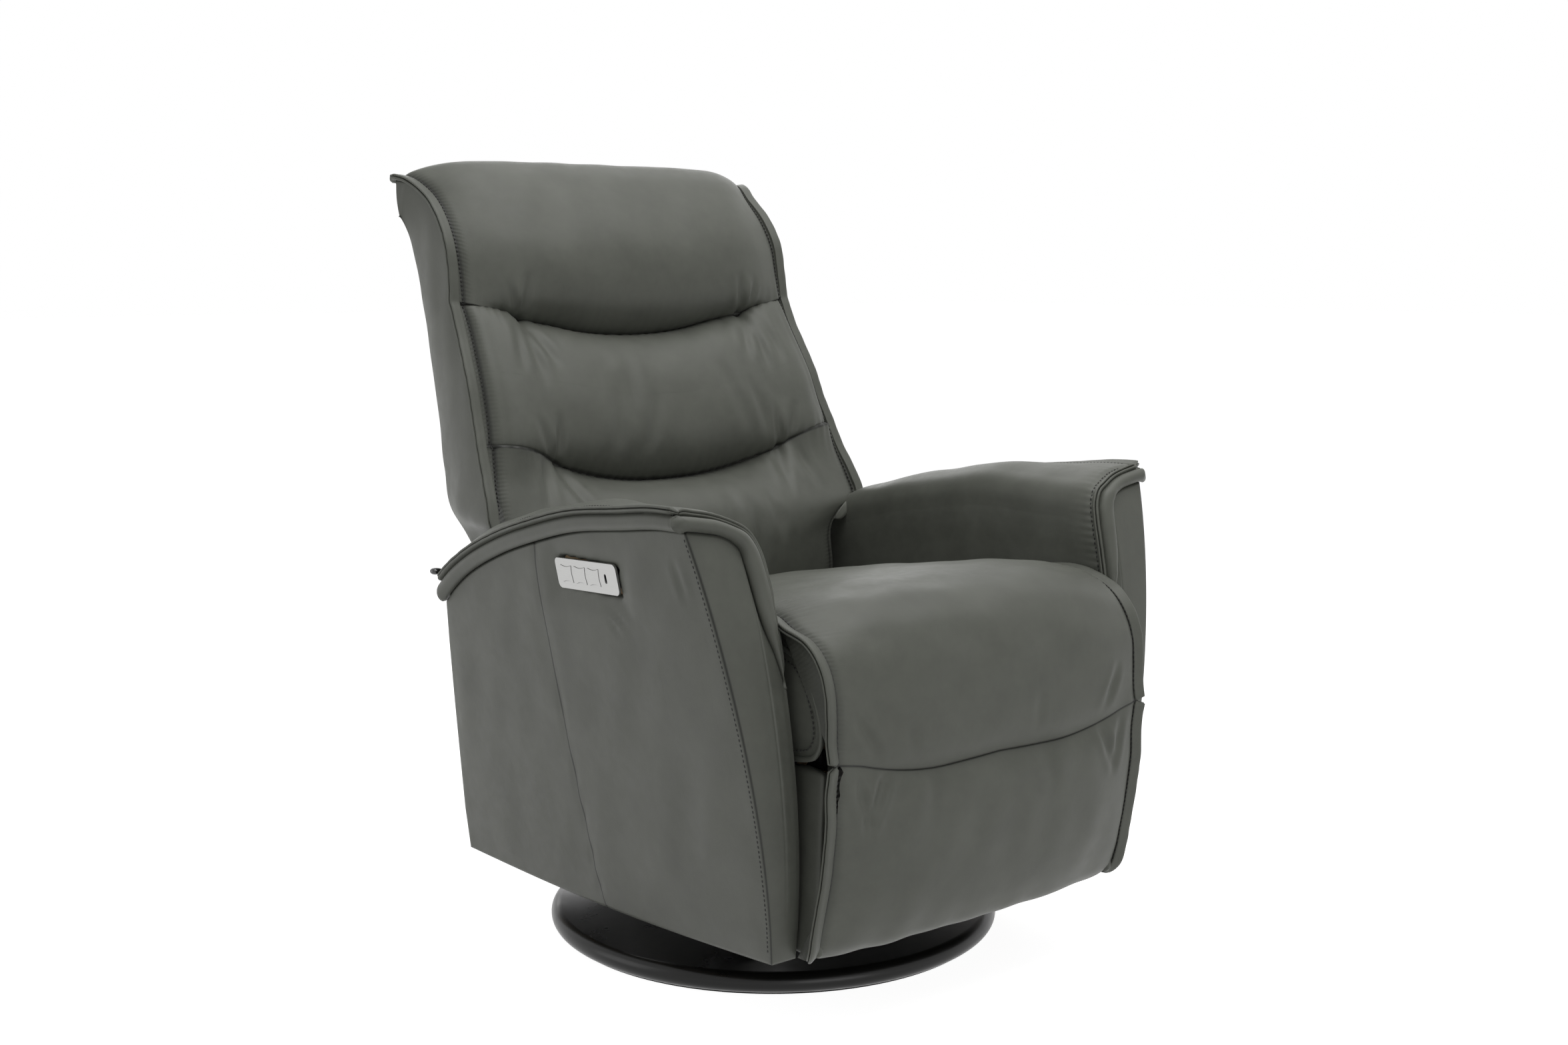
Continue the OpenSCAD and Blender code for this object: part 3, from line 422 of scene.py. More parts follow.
def make_leather():
    """Smooth matt leather: fine grain, faint mottling, puckers beside the stitched seams, and painted shade
    in the stitches' grooves and along the seams.
    """
    f = Finish("leather", specular=0.28, sheen=0.04)
    hide = colours().leather
    grain = f.cells(850.0, feature="DISTANCE_TO_EDGE")
    fine = f.noise(1400.0, 2.0)
    cloud = f.noise(14.0, 4.0, 0.6)
    patch = f.noise(60.0, 3.0, 0.6)
    gap = f.attribute("seam_gap")
    from_stitches = abs(gap - sizes().stitch_inset)
    from_plain = abs(f.attribute("plain_gap"))
    near = f.within(from_stitches, 0.013)
    line = f.within(from_stitches, 0.0032)
    crack = f.within(from_plain, 0.0024)
    beside = f.within(from_plain, 0.010)
    # Painted shade at a panel's stitched edge, next to its welt
    seam_shade = f.within(gap, 0.006)
    wave = (f.attribute("seam_run") * (2 * math.pi / sizes().stitch_pitch)).maths("SINE")
    tone = f.span(cloud + patch * 0.5, 0.45, 1.05)
    colour = f.blend(tone, rgba(hide, 0.86), rgba(hide, 1.13))
    # Painted shade: the colour darkens in and beside the stitches' grooves and in and beside the plain
    # seams, where shade falls
    painted_shade = near * near * 0.50 + line * 0.42 + seam_shade * 0.25 + crack * 0.9 + beside * beside * 0.14
    colour = f.blend(painted_shade, colour, rgba(hide, 0.16))
    rough = f.span(patch, 0.3, 0.7, 0.43, 0.52)
    height = grain * 0.22 + fine * 0.1 + patch * 0.5 + wave * near * 0.30 - line * 0.35 - crack * 0.9
    return f.finish(colour, rough, height, 0.0007, 0.6)


def make_thread():
    f = Finish("thread", specular=0.3)
    twist = f.noise(2500.0)
    colour = f.blend(twist, rgba(colours().thread, 0.8), rgba(colours().thread, 1.5))
    return f.finish(colour, 0.6, twist, 0.0002)


def make_felt():
    f = Finish("felt", specular=0.2, sheen=0.3)
    fibre = f.noise(1200.0, 4.0, 0.8)
    return f.finish(f.blend(fibre, (0.02, 0.02, 0.02, 1), (0.06, 0.06, 0.058, 1)), 0.95, fibre, 0.001)


def make_lacquer():
    """Black gloss lacquer with a slight orange peel and faint dust in its sheen."""
    f = Finish("lacquer", coat=0.15, specular=0.22)
    f.shader.inputs["Coat Roughness"].default_value = 0.2
    peel = f.noise(160.0, 2.0)
    haze = f.noise(22.0, 3.0)
    colour = f.blend(haze, rgba(colours().lacquer, 0.8), rgba(colours().lacquer, 1.3))
    return f.finish(colour, f.span(haze, 0.3, 0.7, 0.26, 0.36), peel, 0.00008, 0.5)


def make_steel():
    f = Finish("steel", specular=0.4)
    grit = f.noise(1500.0, 2.0)
    worn = f.span(f.noise(40.0, 4.0, 0.7), 0.55, 0.8)
    return f.finish(f.blend(worn, (0.018, 0.018, 0.02, 1), (0.032, 0.032, 0.034, 1)),
                    f.span(grit, 0.3, 0.7, 0.48, 0.6), grit, 0.0004, 0.5)


def make_zinc():
    f = Finish("zinc", metallic=1.0)
    spangle = f.cells(260.0, "Color")
    shade = f.node("RGBToBW", {}, spangle).out()
    return f.finish(f.blend(shade, (0.5, 0.51, 0.53, 1), (0.66, 0.67, 0.68, 1)),
                    f.span(shade, 0.0, 1.0, 0.28, 0.42), shade, 0.0001, 0.4)


def make_silver_metal():
    """Satin aluminium, brushed along the plate."""
    f = Finish("silver_metal", metallic=1.0)
    streak = f.noise(1.0, 3.0, stretch=(900.0, 6.0, 900.0))
    return f.finish(f.blend(streak, (0.36, 0.36, 0.355, 1), (0.47, 0.47, 0.46, 1)),
                    f.span(streak, 0.3, 0.7, 0.3, 0.44), streak, 0.0001, 0.3)


def make_acetal():
    f = Finish("acetal", specular=0.5)
    cloud = f.noise(60.0, 3.0)
    return f.finish(f.blend(cloud, (0.72, 0.71, 0.67, 1), (0.8, 0.79, 0.75, 1)),
                    f.span(cloud, 0, 1, 0.35, 0.45))


def make_plywood():
    """Birch plywood with its grain along the boards and thin layers on the edges."""
    f = Finish("plywood", specular=0.3)
    grain = f.noise(1.0, 5.0, 0.6, stretch=(9.0, 9.0, 120.0))
    knots = f.noise(18.0, 3.0)
    tone = f.span(grain + knots * 0.4, 0.5, 0.95)
    return f.finish(f.blend(tone, (0.36, 0.23, 0.12, 1), (0.62, 0.45, 0.27, 1)),
                    f.span(grain, 0, 1, 0.5, 0.68), grain, 0.0004, 0.5)


def make_webbing():
    """Woven elastic straps."""
    f = Finish("webbing", specular=0.25)
    warp = f.node("TexWave", {"bands_direction": "X"}, Vector=f.place, Scale=160.0).out("Fac")
    weft = f.node("TexWave", {"bands_direction": "Z"}, Vector=f.place, Scale=110.0).out("Fac")
    weave = warp * weft
    return f.finish(f.blend(weave, (0.015, 0.015, 0.016, 1), (0.06, 0.06, 0.062, 1)), 0.8, weave, 0.0008)


def make_black_plastic():
    f = Finish("black_plastic", specular=0.45)
    spark = f.cells(1100.0)
    haze = f.noise(50.0, 3.0)
    return f.finish(f.blend(haze, (0.010, 0.010, 0.011, 1), (0.018, 0.018, 0.019, 1)),
                    f.span(haze, 0, 1, 0.38, 0.5), spark, 0.0002, 0.5)


def make_lever_gloss():
    f = Finish("lever_gloss", specular=0.5, coat=0.6)
    haze = f.noise(90.0, 3.0)
    return f.finish(f.blend(haze, (0.012, 0.012, 0.012, 1), (0.022, 0.022, 0.022, 1)),
                    f.span(haze, 0, 1, 0.12, 0.2), haze, 0.00005, 0.4)


def make_lining():
    """Black non-woven lining cloth."""
    f = Finish("lining", specular=0.15)
    fibre = f.noise(700.0, 4.0, 0.8)
    dots = f.cells(420.0)
    return f.finish(f.blend(fibre, (0.010, 0.010, 0.010, 1), (0.028, 0.028, 0.028, 1)),
                    0.9, fibre + dots, 0.0006)


MAKERS = {
    "leather": make_leather, "thread": make_thread, "felt": make_felt, "lacquer": make_lacquer,
    "steel": make_steel, "zinc": make_zinc, "silver_metal": make_silver_metal, "acetal": make_acetal,
    "plywood": make_plywood, "webbing": make_webbing, "black_plastic": make_black_plastic,
    "lever_gloss": make_lever_gloss, "lining": make_lining,
}


# ---- Welts and stitches ----

# Outline of a welt with two lips, as shares of its width and of its depth
WELT_OUTLINE = [(-0.50, -0.25), (-0.54, 0.25), (-0.54, 0.70), (-0.40, 0.94), (-0.20, 1.00), (-0.06, 0.90),
                (-0.01, 0.55), (0.03, 0.55), (0.10, 0.86), (0.22, 0.94), (0.36, 0.90), (0.45, 0.65),
                (0.46, 0.25), (0.44, -0.25), (-0.50, -0.25)]


def welt(name, line, out, body, taper=(0.02, 0.02), pitch=0.004):
    """A leather welt with two lips along a line of points; out is the way that it stands at each point."""
    depth, width = sizes().welt_depth, sizes().welt_width
    knots = shares(line)
    length = runs_of(line)[-1]
    around = smooth(shares(WELT_OUTLINE), WELT_OUTLINE, np.linspace(0, 1, 45))
    around[:, 0] = np.clip(around[:, 0], -0.56, 0.5)

    def place(u, v):
        base = smooth(knots, line, v)
        way = unit(smooth(knots, out, v))
        ahead, behind = held(v + 0.004), held(v - 0.004)
        tangent = unit(smooth(knots, line, ahead) - smooth(knots, line, behind))
        side = unit(np.cross(tangent, way))
        way = unit(np.cross(side, tangent))
        end = np.minimum(v * length / taper[0], (1 - v) * length / taper[1])
        grow = np.sqrt(held(1 - (1 - held(end)) ** 2))
        i = u * (len(around) - 1)
        a = np.interp(i, range(len(around)), around[:, 0])
        b = np.interp(i, range(len(around)), around[:, 1])
        wave = 1 + 0.018 * np.sin(v * length * 2 * math.pi / 0.031 + 1.3 * np.sin(v * 17))
        return (base + side * (a * width * (0.35 + 0.65 * grow))[:, None]
                + way * ((b * wave * depth * grow) - 0.001 * (1 - grow))[:, None])

    bm = skin(44, max(int(length / pitch), 12), place)
    return new_piece(name, bm, body)


# Half of a thread's width and height
THREAD = (0.0011, 0.0008)


def stitches(name, spots, tangents, normals, body, blend=None):
    """A row of stitches, each a small sunk thread."""
    spots = np.asarray(spots)
    run = runs_of(spots)
    pitch = sizes().stitch_pitch
    bm = bmesh.new()
    for at in np.arange(pitch, run[-1] - pitch, pitch):
        p, t, n = (Vector([np.interp(at, run, a[:, k]) for k in range(3)])
                   for a in (spots, tangents, normals))
        t.normalize()
        s = n.cross(t).normalized()
        n = t.cross(s)
        turn = Matrix((t, s, n)).transposed().to_4x4()
        size = Matrix.Diagonal((0.36 * pitch, *THREAD, 1.0))
        bmesh.ops.create_uvsphere(bm, u_segments=6, v_segments=4, radius=1.0,
                                  matrix=Matrix.Translation(p - n * 0.0001) @ turn @ size)
    piece = new_piece(name, bm, None if blend else body, "thread")
    if blend:
        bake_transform(piece)
    return piece


# ---- The back ----

# Seams of the back: share of the half-width, then the place from front to rear and the height
SEAM_LOW = [(0, .263, .600), (.17, .262, .602), (.46, .254, .618), (.64, .241, .637), (.74, .227, .654),
            (.90, .223, .668), (.97, .235, .669), (1, .249, .669)]
SEAM_HIGH = [(0, .357, .808), (.18, .358, .810), (.35, .360, .816), (.50, .359, .826), (.60, .356, .832),
             (.68, .343, .838), (.75, .334, .848), (.90, .331, .858), (.97, .336, .862), (1, .345, .863)]
LUMBAR_MID = [(.263, .600), (.232, .600), (.196, .590), (.168, .566), (.153, .530), (.148, .487),
              (.150, .450), (.156, .412), (.165, .375)]
LUMBAR_SIDE = [(.324, .249, .669), (.328, .230, .631), (.334, .208, .594), (.335, .190, .557),
               (.300, .180, .545), (.272, .176, .520), (.270, .172, .460), (.270, .170, .375)]
MIDDLE_SIDE = [(.324, .249, .669), (.319, .268, .707), (.316, .284, .746), (.312, .305, .785),
               (.308, .327, .824), (.307, .345, .863)]
# How far the middle panel stands out, by share of the half-width
MIDDLE_BULGE = [(0, .064), (.3, .062), (.5, .055), (.62, .042), (.7, .027), (.8, .018), (.9, .013),
                (.97, .009), (1, .001)]
HEAD_MID = [(.357, .808), (.335, .822), (.318, .850), (.314, .890), (.321, .932), (.342, .978),
            (.375, 1.022), (.414, 1.054), (.450, 1.068), (.480, 1.056), (.494, 1.028), (.495, .980)]
HEAD_SIDE = [(.307, .345, .863), (.305, .350, .904), (.305, .359, .945), (.304, .384, .984),
             (.305, .426, 1.019), (.317, .463, 1.039), (.3235, .480, 1.041), (.317, .492, 1.030),
             (.304, .496, 1.006), (.297, .489, .976)]
BACK_CORE = [(.200, .375), (.296, .600), (.372, .808), (.430, .960), (.455, 1.0), (.460, .985)]
FRONT_SHARE = 0.9
COVER_INSET = 0.012


def settle(a, power, rest):
    """Rises from 0 in the middle to 1 at the edge, and arrives there level."""
    return 1 - (1 - held(a) ** power) ** rest


def seam_line(line, a):
    """A seam's place and height at shares of the half-width."""
    line = np.asarray(line)
    return smooth(line[:, 0], line[:, 1:], a)


def seam_pull(pair, line, a, q, reach=0.35):
    """Moves the start of a panel onto its seam, and less and less of what follows."""
    start, here = pair
    pull = held(1 - q / reach)[:, None] ** 2
    return here + (seam_line(line, a) - start) * pull


def lumbar(u, a, p):
    """The lowest panel, from its foot at p 0 up to the lower seam; a is the share of the half-width."""
    q = 1 - p
    side = curve(LUMBAR_SIDE, q)
    power = settle(a, 4.5, 1.4)[:, None]
    start = mix(np.array(LUMBAR_MID[0]), np.array(LUMBAR_SIDE[0][1:]), power)
    here = mix(curve(LUMBAR_MID, q), side[:, 1:], power)
    here = seam_pull((start, here), SEAM_LOW, a, q)
    return columns(u * (side[:, 0] - COVER_INSET), here)


def middle(u, a, p):
    """The middle panel, between both seams."""
    low, high = seam_line(SEAM_LOW, a), seam_line(SEAM_HIGH, a)
    side = curve(MIDDLE_SIDE, p)
    chord = unit(high - low)
    out = columns(-chord[:, 1], chord[:, 0])
    bulge = smooth(*zip(*MIDDLE_BULGE), a)
    lift = bulge * (1 - np.abs(2 * p - 1) ** 2.5) ** 0.55
    edge = side[:, 1:] - mix(low, high, p[:, None])
    here = mix(low, high, p[:, None]) + out * lift[:, None] + edge * (a ** 12)[:, None]
    return columns(u * (side[:, 0] - COVER_INSET), here)


def head(u, a, q):
    """The top panel, from the upper seam over the top to the rear."""
    side = curve(HEAD_SIDE, q)
    high = held(q / 0.6)
    power = settle(a, mix(5.0, 7.0, high), mix(1.5, 1.2, high))[:, None]
    start_power = settle(a, 5.0, 1.5)[:, None]
    start = mix(np.array(HEAD_MID[0]), np.array(HEAD_SIDE[0][1:]), start_power)
    here = mix(curve(HEAD_MID, q), side[:, 1:], power)
    here = seam_pull((start, here), SEAM_HIGH, a, q)
    return columns(u * (side[:, 0] - COVER_INSET), here)


def back_front(u, s):
    """The back's front: u from -1 to 1 across, s from 0 at its foot over both seams to 3 at the rear."""
    out = np.zeros((len(u), 3))
    part = np.clip(s.astype(int), 0, 2)
    for i, panel in enumerate((lumbar, middle, head)):
        here = part == i
        if here.any():
            out[here] = panel(u[here], np.abs(u[here]), s[here] - i)
    return out


# Folds of the back's front: (x, height, degrees from upright, length, width, depth)
# These are on both sides
PAIRED_FOLDS = [
    (.196, .862, -8, .096, .0065, .0049), (.216, .868, 14, .064, .0052, .0034),
    (.186, .808, 24, .088, .0078, .0039), (.226, .806, -12, .088, .0078, .0034),
    (.205, .800, 5, .112, .0078, .0030), (.198, .668, -8, .096, .0065, .0049),
    (.222, .674, 14, .080, .0065, .0034), (.190, .606, 22, .096, .0078, .0039),
    (.232, .618, -16, .096, .0078, .0034),
]
BACK_FOLDS = [(side * x, z, side * turn, *rest) for x, z, turn, *rest in PAIRED_FOLDS for side in (1, -1)]
# And these stand by themselves
BACK_FOLDS += [
    (-.090, .700, 14, .150, .0120, .0042), (-.060, .730, 10, .130, .0110, .0034),
    (-.030, .690, 18, .110, .0100, .0030), (.130, .720, -12, .120, .0110, .0034),
    (.170, .700, -18, .110, .0100, .0038), (.060, .540, 6, .110, .0110, .0034),
    (.100, .520, -4, .120, .0110, .0038), (.140, .545, -10, .090, .0090, .0034),
    (-.120, .540, 8, .090, .0100, .0023),
]


def back_split(r):
    """Which points of a ring lie on the front, their u across it, and how far the others are behind."""
    front = r <= FRONT_SHARE
    u = crowd(held(r / FRONT_SHARE) * 2 - 1, 0.55)
    return front, u, held((r - FRONT_SHARE) / (1 - FRONT_SHARE))


def back_rows(v):
    """The s of a row on the back, with rows closer together at the seams."""
    part = np.clip((v * 3).astype(int), 0, 2)
    return part + ease(v * 3 - part, 0.72)


def back_shape(r, s):
    front, u, rest = back_split(r)
    out = back_front(u, s)
    # The hidden side turns straight in from the edge before it drops to the core
    edge = back_front(np.ones(len(s)), s)
    near = held(np.minimum(rest, 1 - rest) / 0.25)[:, None]
    inner = mix(edge[:, 1:], curve(BACK_CORE, s / 3), 0.08 + 0.92 * near)
    hidden = columns(edge[:, 0] * 0.93 * (1 - 2 * rest), inner)
    out[~front] = hidden[~front]
    return out


def back_place(r, v):
    """The back's cover with its folds and its slight unevenness."""
    s = back_rows(v)
    spot = back_shape(r, s)
    front, u, _ = back_split(r)
    normal = facing(back_front, u, s, 1, -1, 3)
    edge = held((1 - np.abs(u)) / 0.08)
    seam = np.abs(s - np.round(s)) * 3
    calm = held(seam) * edge
    lift = creases(spot[:, 0], spot[:, 2], BACK_FOLDS) * held((1 - np.abs(u)) / 0.04) * (s > 0.02)
    lift += 0.0009 * ripple(spot[:, 0], spot[:, 2], 4) * calm
    lift -= valley((1 - np.abs(u)) * BACK_HALF) * held((s - 0.4) * 6)
    # Short gathers where the cover is pulled into its seams
    near = np.minimum(np.abs(s - 1), np.abs(s - 2))
    wave = np.sin(spot[:, 0] * 2 * math.pi / 0.017 + 2 * ripple(spot[:, 0], s * 0, 9))
    lift += 0.0006 * wave * np.exp(-near / 0.07) * edge
    spot[front] += (normal * lift[:, None])[front]
    return spot


def back_seam(r, v):
    """Distance from the stitched sides, and the run up them."""
    s = back_rows(v)
    front, u, _ = back_split(r)
    stations = np.linspace(0, 3, 400)
    line = back_front(np.ones(400), stations)
    gap = (1 - np.abs(u)) * line[0, 0]
    return np.where(front, gap, 1.0), np.interp(s, stations, runs_of(line))


def back_plain(r, v):
    """Signed distance from the nearer of both seams across the back."""
    s = back_rows(v)
    low, high = (s - 1) * 0.25, (s - 2) * 0.25
    return np.where(r <= FRONT_SHARE, np.where(s < 1.5, low, high), 1.0)


class CHAIR_OT_back(bpy.types.Operator):
    """Makes the back's leather front in three panels, its welts and its stitches"""
    bl_idname = "chair.back"
    bl_label = "Back cover"

    def execute(self, context):
        bm = skin(210, 270, back_place, back_seam, plain=back_plain)
        cover = new_piece("back_cover", bm, "back")
        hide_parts("lumbar_cushion", "middle_cushion", "head_cushion")
        for side, word in SIDES:
            s = np.linspace(0.44, 2.80, 60)
            spot, normal, _ = edge_of(back_front, s, side)
            out = unit(np.array([[side, 0.0, 0.0]]) + normal * 0.10)
            welt(f"{word}_back_welt", spot - out * 0.001, out, "back")
            s = np.linspace(0.55, 2.8, 500)
            spot, normal, along = edge_of(back_front, s, side, sizes().stitch_inset)
            stitches(f"{word}_back_stitches", spot, along, normal, "back")
        return {"FINISHED"}


# Stations up the back's covering: s on the front's edge, the rear corner, and the middle of the rear
SHELL_S = [0, .416, .527, .636, .80, 1.0, 1.5, 2.0, 2.25, 2.52, 2.70, 2.755]
SHELL_CORNER = [(.262, .290, .352), (.266, .349, .500), (.278, .363, .535), (.292, .375, .565),
                (.291, .395, .625), (.288, .409, .672), (.284, .437, .766), (.282, .464, .866),
                (.284, .479, .920), (.290, .491, .965), (.297, .495, .982), (.300, .495, .986)]
SHELL_REAR = [(.296, .352), (.355, .500), (.369, .535), (.380, .565), (.400, .625), (.414, .672),
              (.442, .766), (.470, .866), (.485, .920), (.496, .965), (.500, .982), (.500, .987)]
# The share of the way round from the middle of the rear to a front edge at which the corner comes
SHELL_HALF = 0.52
# The top of the sides' edge, as s on the front, and the leather's thickness
SHELL_TOP = 2.76
SHELL_T = 0.003


def shell_place(u, v):
    """The back's side and rear covering, from one welt round the rear to the other."""
    knots = shares(SHELL_REAR)
    s = smooth(knots, SHELL_S, v)
    edge = back_front(np.ones(len(v)), np.clip(s, 0, SHELL_TOP)) + np.array([.0005, .0030, 0])
    edge += np.interp(s, [2.3, 2.7], [0, 1])[:, None] * np.array([-.001, 0, -.005])
    corner = smooth(knots, SHELL_CORNER, v)
    rear = columns(np.zeros(len(v)), smooth(knots, SHELL_REAR, v))
    t = np.abs(u * 2 - 1)
    wide = held(t / SHELL_HALF)
    fore = held((t - SHELL_HALF) / (1 - SHELL_HALF))
    rear_part = rear + (corner - rear) * columns(wide, wide ** 5, wide ** 2)
    side_part = corner + (edge - corner) * fore[:, None]
    swell = np.interp(v, [0, .25, .35, .8, 1], [0, .002, .009, .009, .002])
    side_part[:, 0] += np.sin(fore * math.pi) ** 0.7 * swell
    out = np.where((t > SHELL_HALF)[:, None], side_part, rear_part)
    uneven = 0.0008 * ripple(out[:, 1] + out[:, 0], out[:, 2], 31) * (1 - fore ** 8)
    out[:, 0] += np.where(t > SHELL_HALF, uneven, 0)
    out[:, 1] += np.where(t > SHELL_HALF, 0, uneven)
    out[:, 0] *= np.sign(0.5 - u)
    return out


class CHAIR_OT_shell(bpy.types.Operator):
    """Makes the leather covering of the back's sides and rear"""
    bl_idname = "chair.shell"
    bl_label = "Back sides and rear"

    def execute(self, context):
        bm = skin(150, 110, shell_place, closed=False)
        made = bmesh.ops.extrude_face_region(bm, geom=bm.faces[:], use_keep_orig=True)
        for vert in (g for g in made["geom"] if isinstance(g, bmesh.types.BMVert)):
            vert.co -= vert.normal * SHELL_T
        bmesh.ops.recalc_face_normals(bm, faces=bm.faces)
        piece = new_piece("back_shell_cover", bm, "back")
        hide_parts("back_shell")
        return {"FINISHED"}


# ---- The arms ----

LIP = [(-.320, .646), (-.280, .645), (-.200, .636), (-.090, .622), (.0, .601), (.100, .572), (.192, .536),
       (.250, .506), (.285, .483)]
FRONT_EDGE = [(-.313, .646), (-.350, .559), (-.410, .330), (-.366, .104)]
REAR_EDGE = [(.343, .074), (.337, .137), (.322, .222), (.307, .305), (.289, .397), (.275, .460)]
ARM_FOOT = 0.297
ARM_FOOT_Z = 0.10
ARM_LEAN = 0.176
BAND = 0.030
# Corners of an arm's outer side, as place from front to rear and height
FOOT_REAR = np.array([.343, .074])
FOOT_FRONT = np.array([-.366, .104])
BAND_REAR = .277
BAND_TIP = np.array([-.323, .620])
# The share of the rows that goes up to the band, before they close the top
ARM_TOP = 0.94
# Length of the outer side, that distances from its front corner are counted over
SIDE_RUN = 0.62
# The outer edge of the welt on the arm's front, from the tip in and down
WELT_FRONT = [(.398, -.314, .644), (.371, -.316, .640), (.340, -.318, .633), (.318, -.322, .624),
              (.302, -.325, .615), (.291, -.330, .599), (.286, -.336, .580), (.283, -.344, .554),
              (.282, -.352, .520), (.280, -.359, .489), (.277, -.365, .458), (.278, -.371, .436)]
# The seam of the band on the arm's front
BAND_FRONT = [(.389, -.323, .620), (.363, -.324, .616), (.341, -.326, .611), (.326, -.329, .603),
              (.319, -.332, .595), (.316, -.336, .579), (.313, -.343, .557), (.309, -.350, .530),
              (.302, -.356, .503), (.292, -.362, .476), (.284, -.367, .448), (.280, -.371, .432)]


def arm_x(z):
    """The leaning plane of an arm's outside."""
    return ARM_FOOT + (z - ARM_FOOT_Z) * ARM_LEAN


FRONT_LINE = bezier(FRONT_EDGE, np.linspace(0, 1, 60))


def lip_z(y):
    """Height of an arm's lip along its side."""
    return smooth(*zip(*LIP), y)


def band_z(y):
    """Height of the seam under the band along an arm's side."""
    return lip_z(y) - BAND * np.interp(y, [BAND_TIP[0], -.315, .2, BAND_REAR], [.87, .9, 1.0, 1.15])


def front_y(z):
    """Place of an arm's front edge at a height."""
    return np.interp(z, FRONT_LINE[::-1, 1], FRONT_LINE[::-1, 0])


def rear_y(z):
    """Place of its rear edge."""
    rear = np.asarray(REAR_EDGE)
    return np.interp(z, rear[:, 1], rear[:, 0])


# Where a ring round an arm passes from the outer side to the front, the inside, the rear and back
RING = (0.0, 0.42, 0.60, 0.88, 1.0)
ARM_INSIDE = .268
ARM_REAR_Z = float(band_z(BAND_REAR)[0])


def part_of(r, i):
    """How far a ring has gone through its i-th part, from 0 to 1."""
    return held((r - RING[i]) / (RING[i + 1] - RING[i]))


PLATE_LOW, PLATE_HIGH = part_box("control_plate")
PLATE_Y = (PLATE_LOW[1] + PLATE_HIGH[1]) / 2
PLATE_Z = (PLATE_LOW[2] + PLATE_HIGH[2]) / 2
PLATE_HALF = ((PLATE_HIGH[1] - PLATE_LOW[1]) / 2, (PLATE_HIGH[2] - PLATE_LOW[2]) / 2)
SIDE_PUFF = 0.004
# Depth of the recess that the buttons move in
BUTTON_ROOM = 0.016
# Dents of the outer side: (place from front to rear, height, degrees, length, width, depth)
SIDE_FOLDS = [(-.158, .497, 62, .060, .004, .0021), (-.150, .484, 50, .045, .004, .0016),
              (-.300, .560, 20, .060, .006, .0016), (.020, .420, 4, .160, .020, .0013)]


def middle_seam(y, b):
    """Signed distance from the plain seam down the middle of the outer side."""
    return y - .012 + .025 * (1 - b) ** 2


def arm_side(c, b, plated=False):
    """The outer side: c from the rear to the front, b from the foot to the band."""
    low = mix(np.array([.343, .072]), FOOT_FRONT, c[:, None])
    low[:, 1] -= 0.010 * np.sin(c * math.pi)
    y = mix(BAND_REAR, BAND_TIP[0], c)
    high = columns(y, band_z(y))
    z_rear, z_front = mix(FOOT_REAR[1], ARM_REAR_Z, b), mix(FOOT_FRONT[1], BAND_TIP[1], b)
    rear = columns(rear_y(z_rear), z_rear)
    front = columns(front_y(z_front), z_front)
    corners = mix(mix(FOOT_REAR, FOOT_FRONT, c[:, None]),
                  mix(np.array([BAND_REAR, ARM_REAR_Z]), BAND_TIP, c[:, None]), b[:, None])
    yz = mix(low, high, b[:, None]) + mix(rear, front, c[:, None]) - corners
    puff = SIDE_PUFF * (1 - np.abs(2 * b - 1) ** 6) * (1 - np.abs(2 * c - 1) ** 10)
    # The plain seam down the middle draws the leather in
    seam = np.exp(-(middle_seam(yz[:, 0], b) / 0.0035) ** 2)
    dents = creases(yz[:, 0], yz[:, 1], SIDE_FOLDS) + 0.0006 * ripple(yz[:, 0], yz[:, 1], 11)
    calm = held(np.minimum(c, 1 - c) / 0.03) * held(np.minimum(b, 1 - b) / 0.05)
    # Where there is a control plate it lies flat, a little sunk, with room behind for the buttons
    far = np.maximum(np.abs(yz[:, 0] - PLATE_Y) - PLATE_HALF[0], np.abs(yz[:, 1] - PLATE_Z) - PLATE_HALF[1])
    flat = 1 - held(far / 0.030)
    flat = flat * flat * (3 - 2 * flat) * plated
    sunk = np.exp(-(held(far) / 0.004) ** 2) * plated
    room = held((-far - 0.003) / 0.004) * plated
    x = arm_x(yz[:, 1]) + mix(puff - 0.0016 * seam + dents * calm, -0.0008, flat)
    return columns(x - 0.0006 * sunk - BUTTON_ROOM * room, yz)


def arm_front(f, b):
    """The front face: f from the outer corner in, b from the foot up to the band's seam."""
    top = curve(BAND_FRONT, f)
    z = mix(FOOT_FRONT[1], top[:, 2], b)
    x = mix(mix(arm_x(FOOT_FRONT[1]), .262, f), top[:, 0], b)
    y = front_y(z) + mix(0, top[:, 1] - front_y(top[:, 2]), b)
    puff = 0.005 * np.sin(f * math.pi) ** 0.6 * (1 - np.abs(2 * b - 1) ** 8)
    return columns(x, y - puff, z)


def arm_rise(v):
    """The share of an arm's height that a row lies at."""
    return ease(held(v / ARM_TOP), 0.3)


def along_side(r):
    """The share of the outer side that a ring has gone, from the rear."""
    return ease(part_of(r, 0), 0.35)


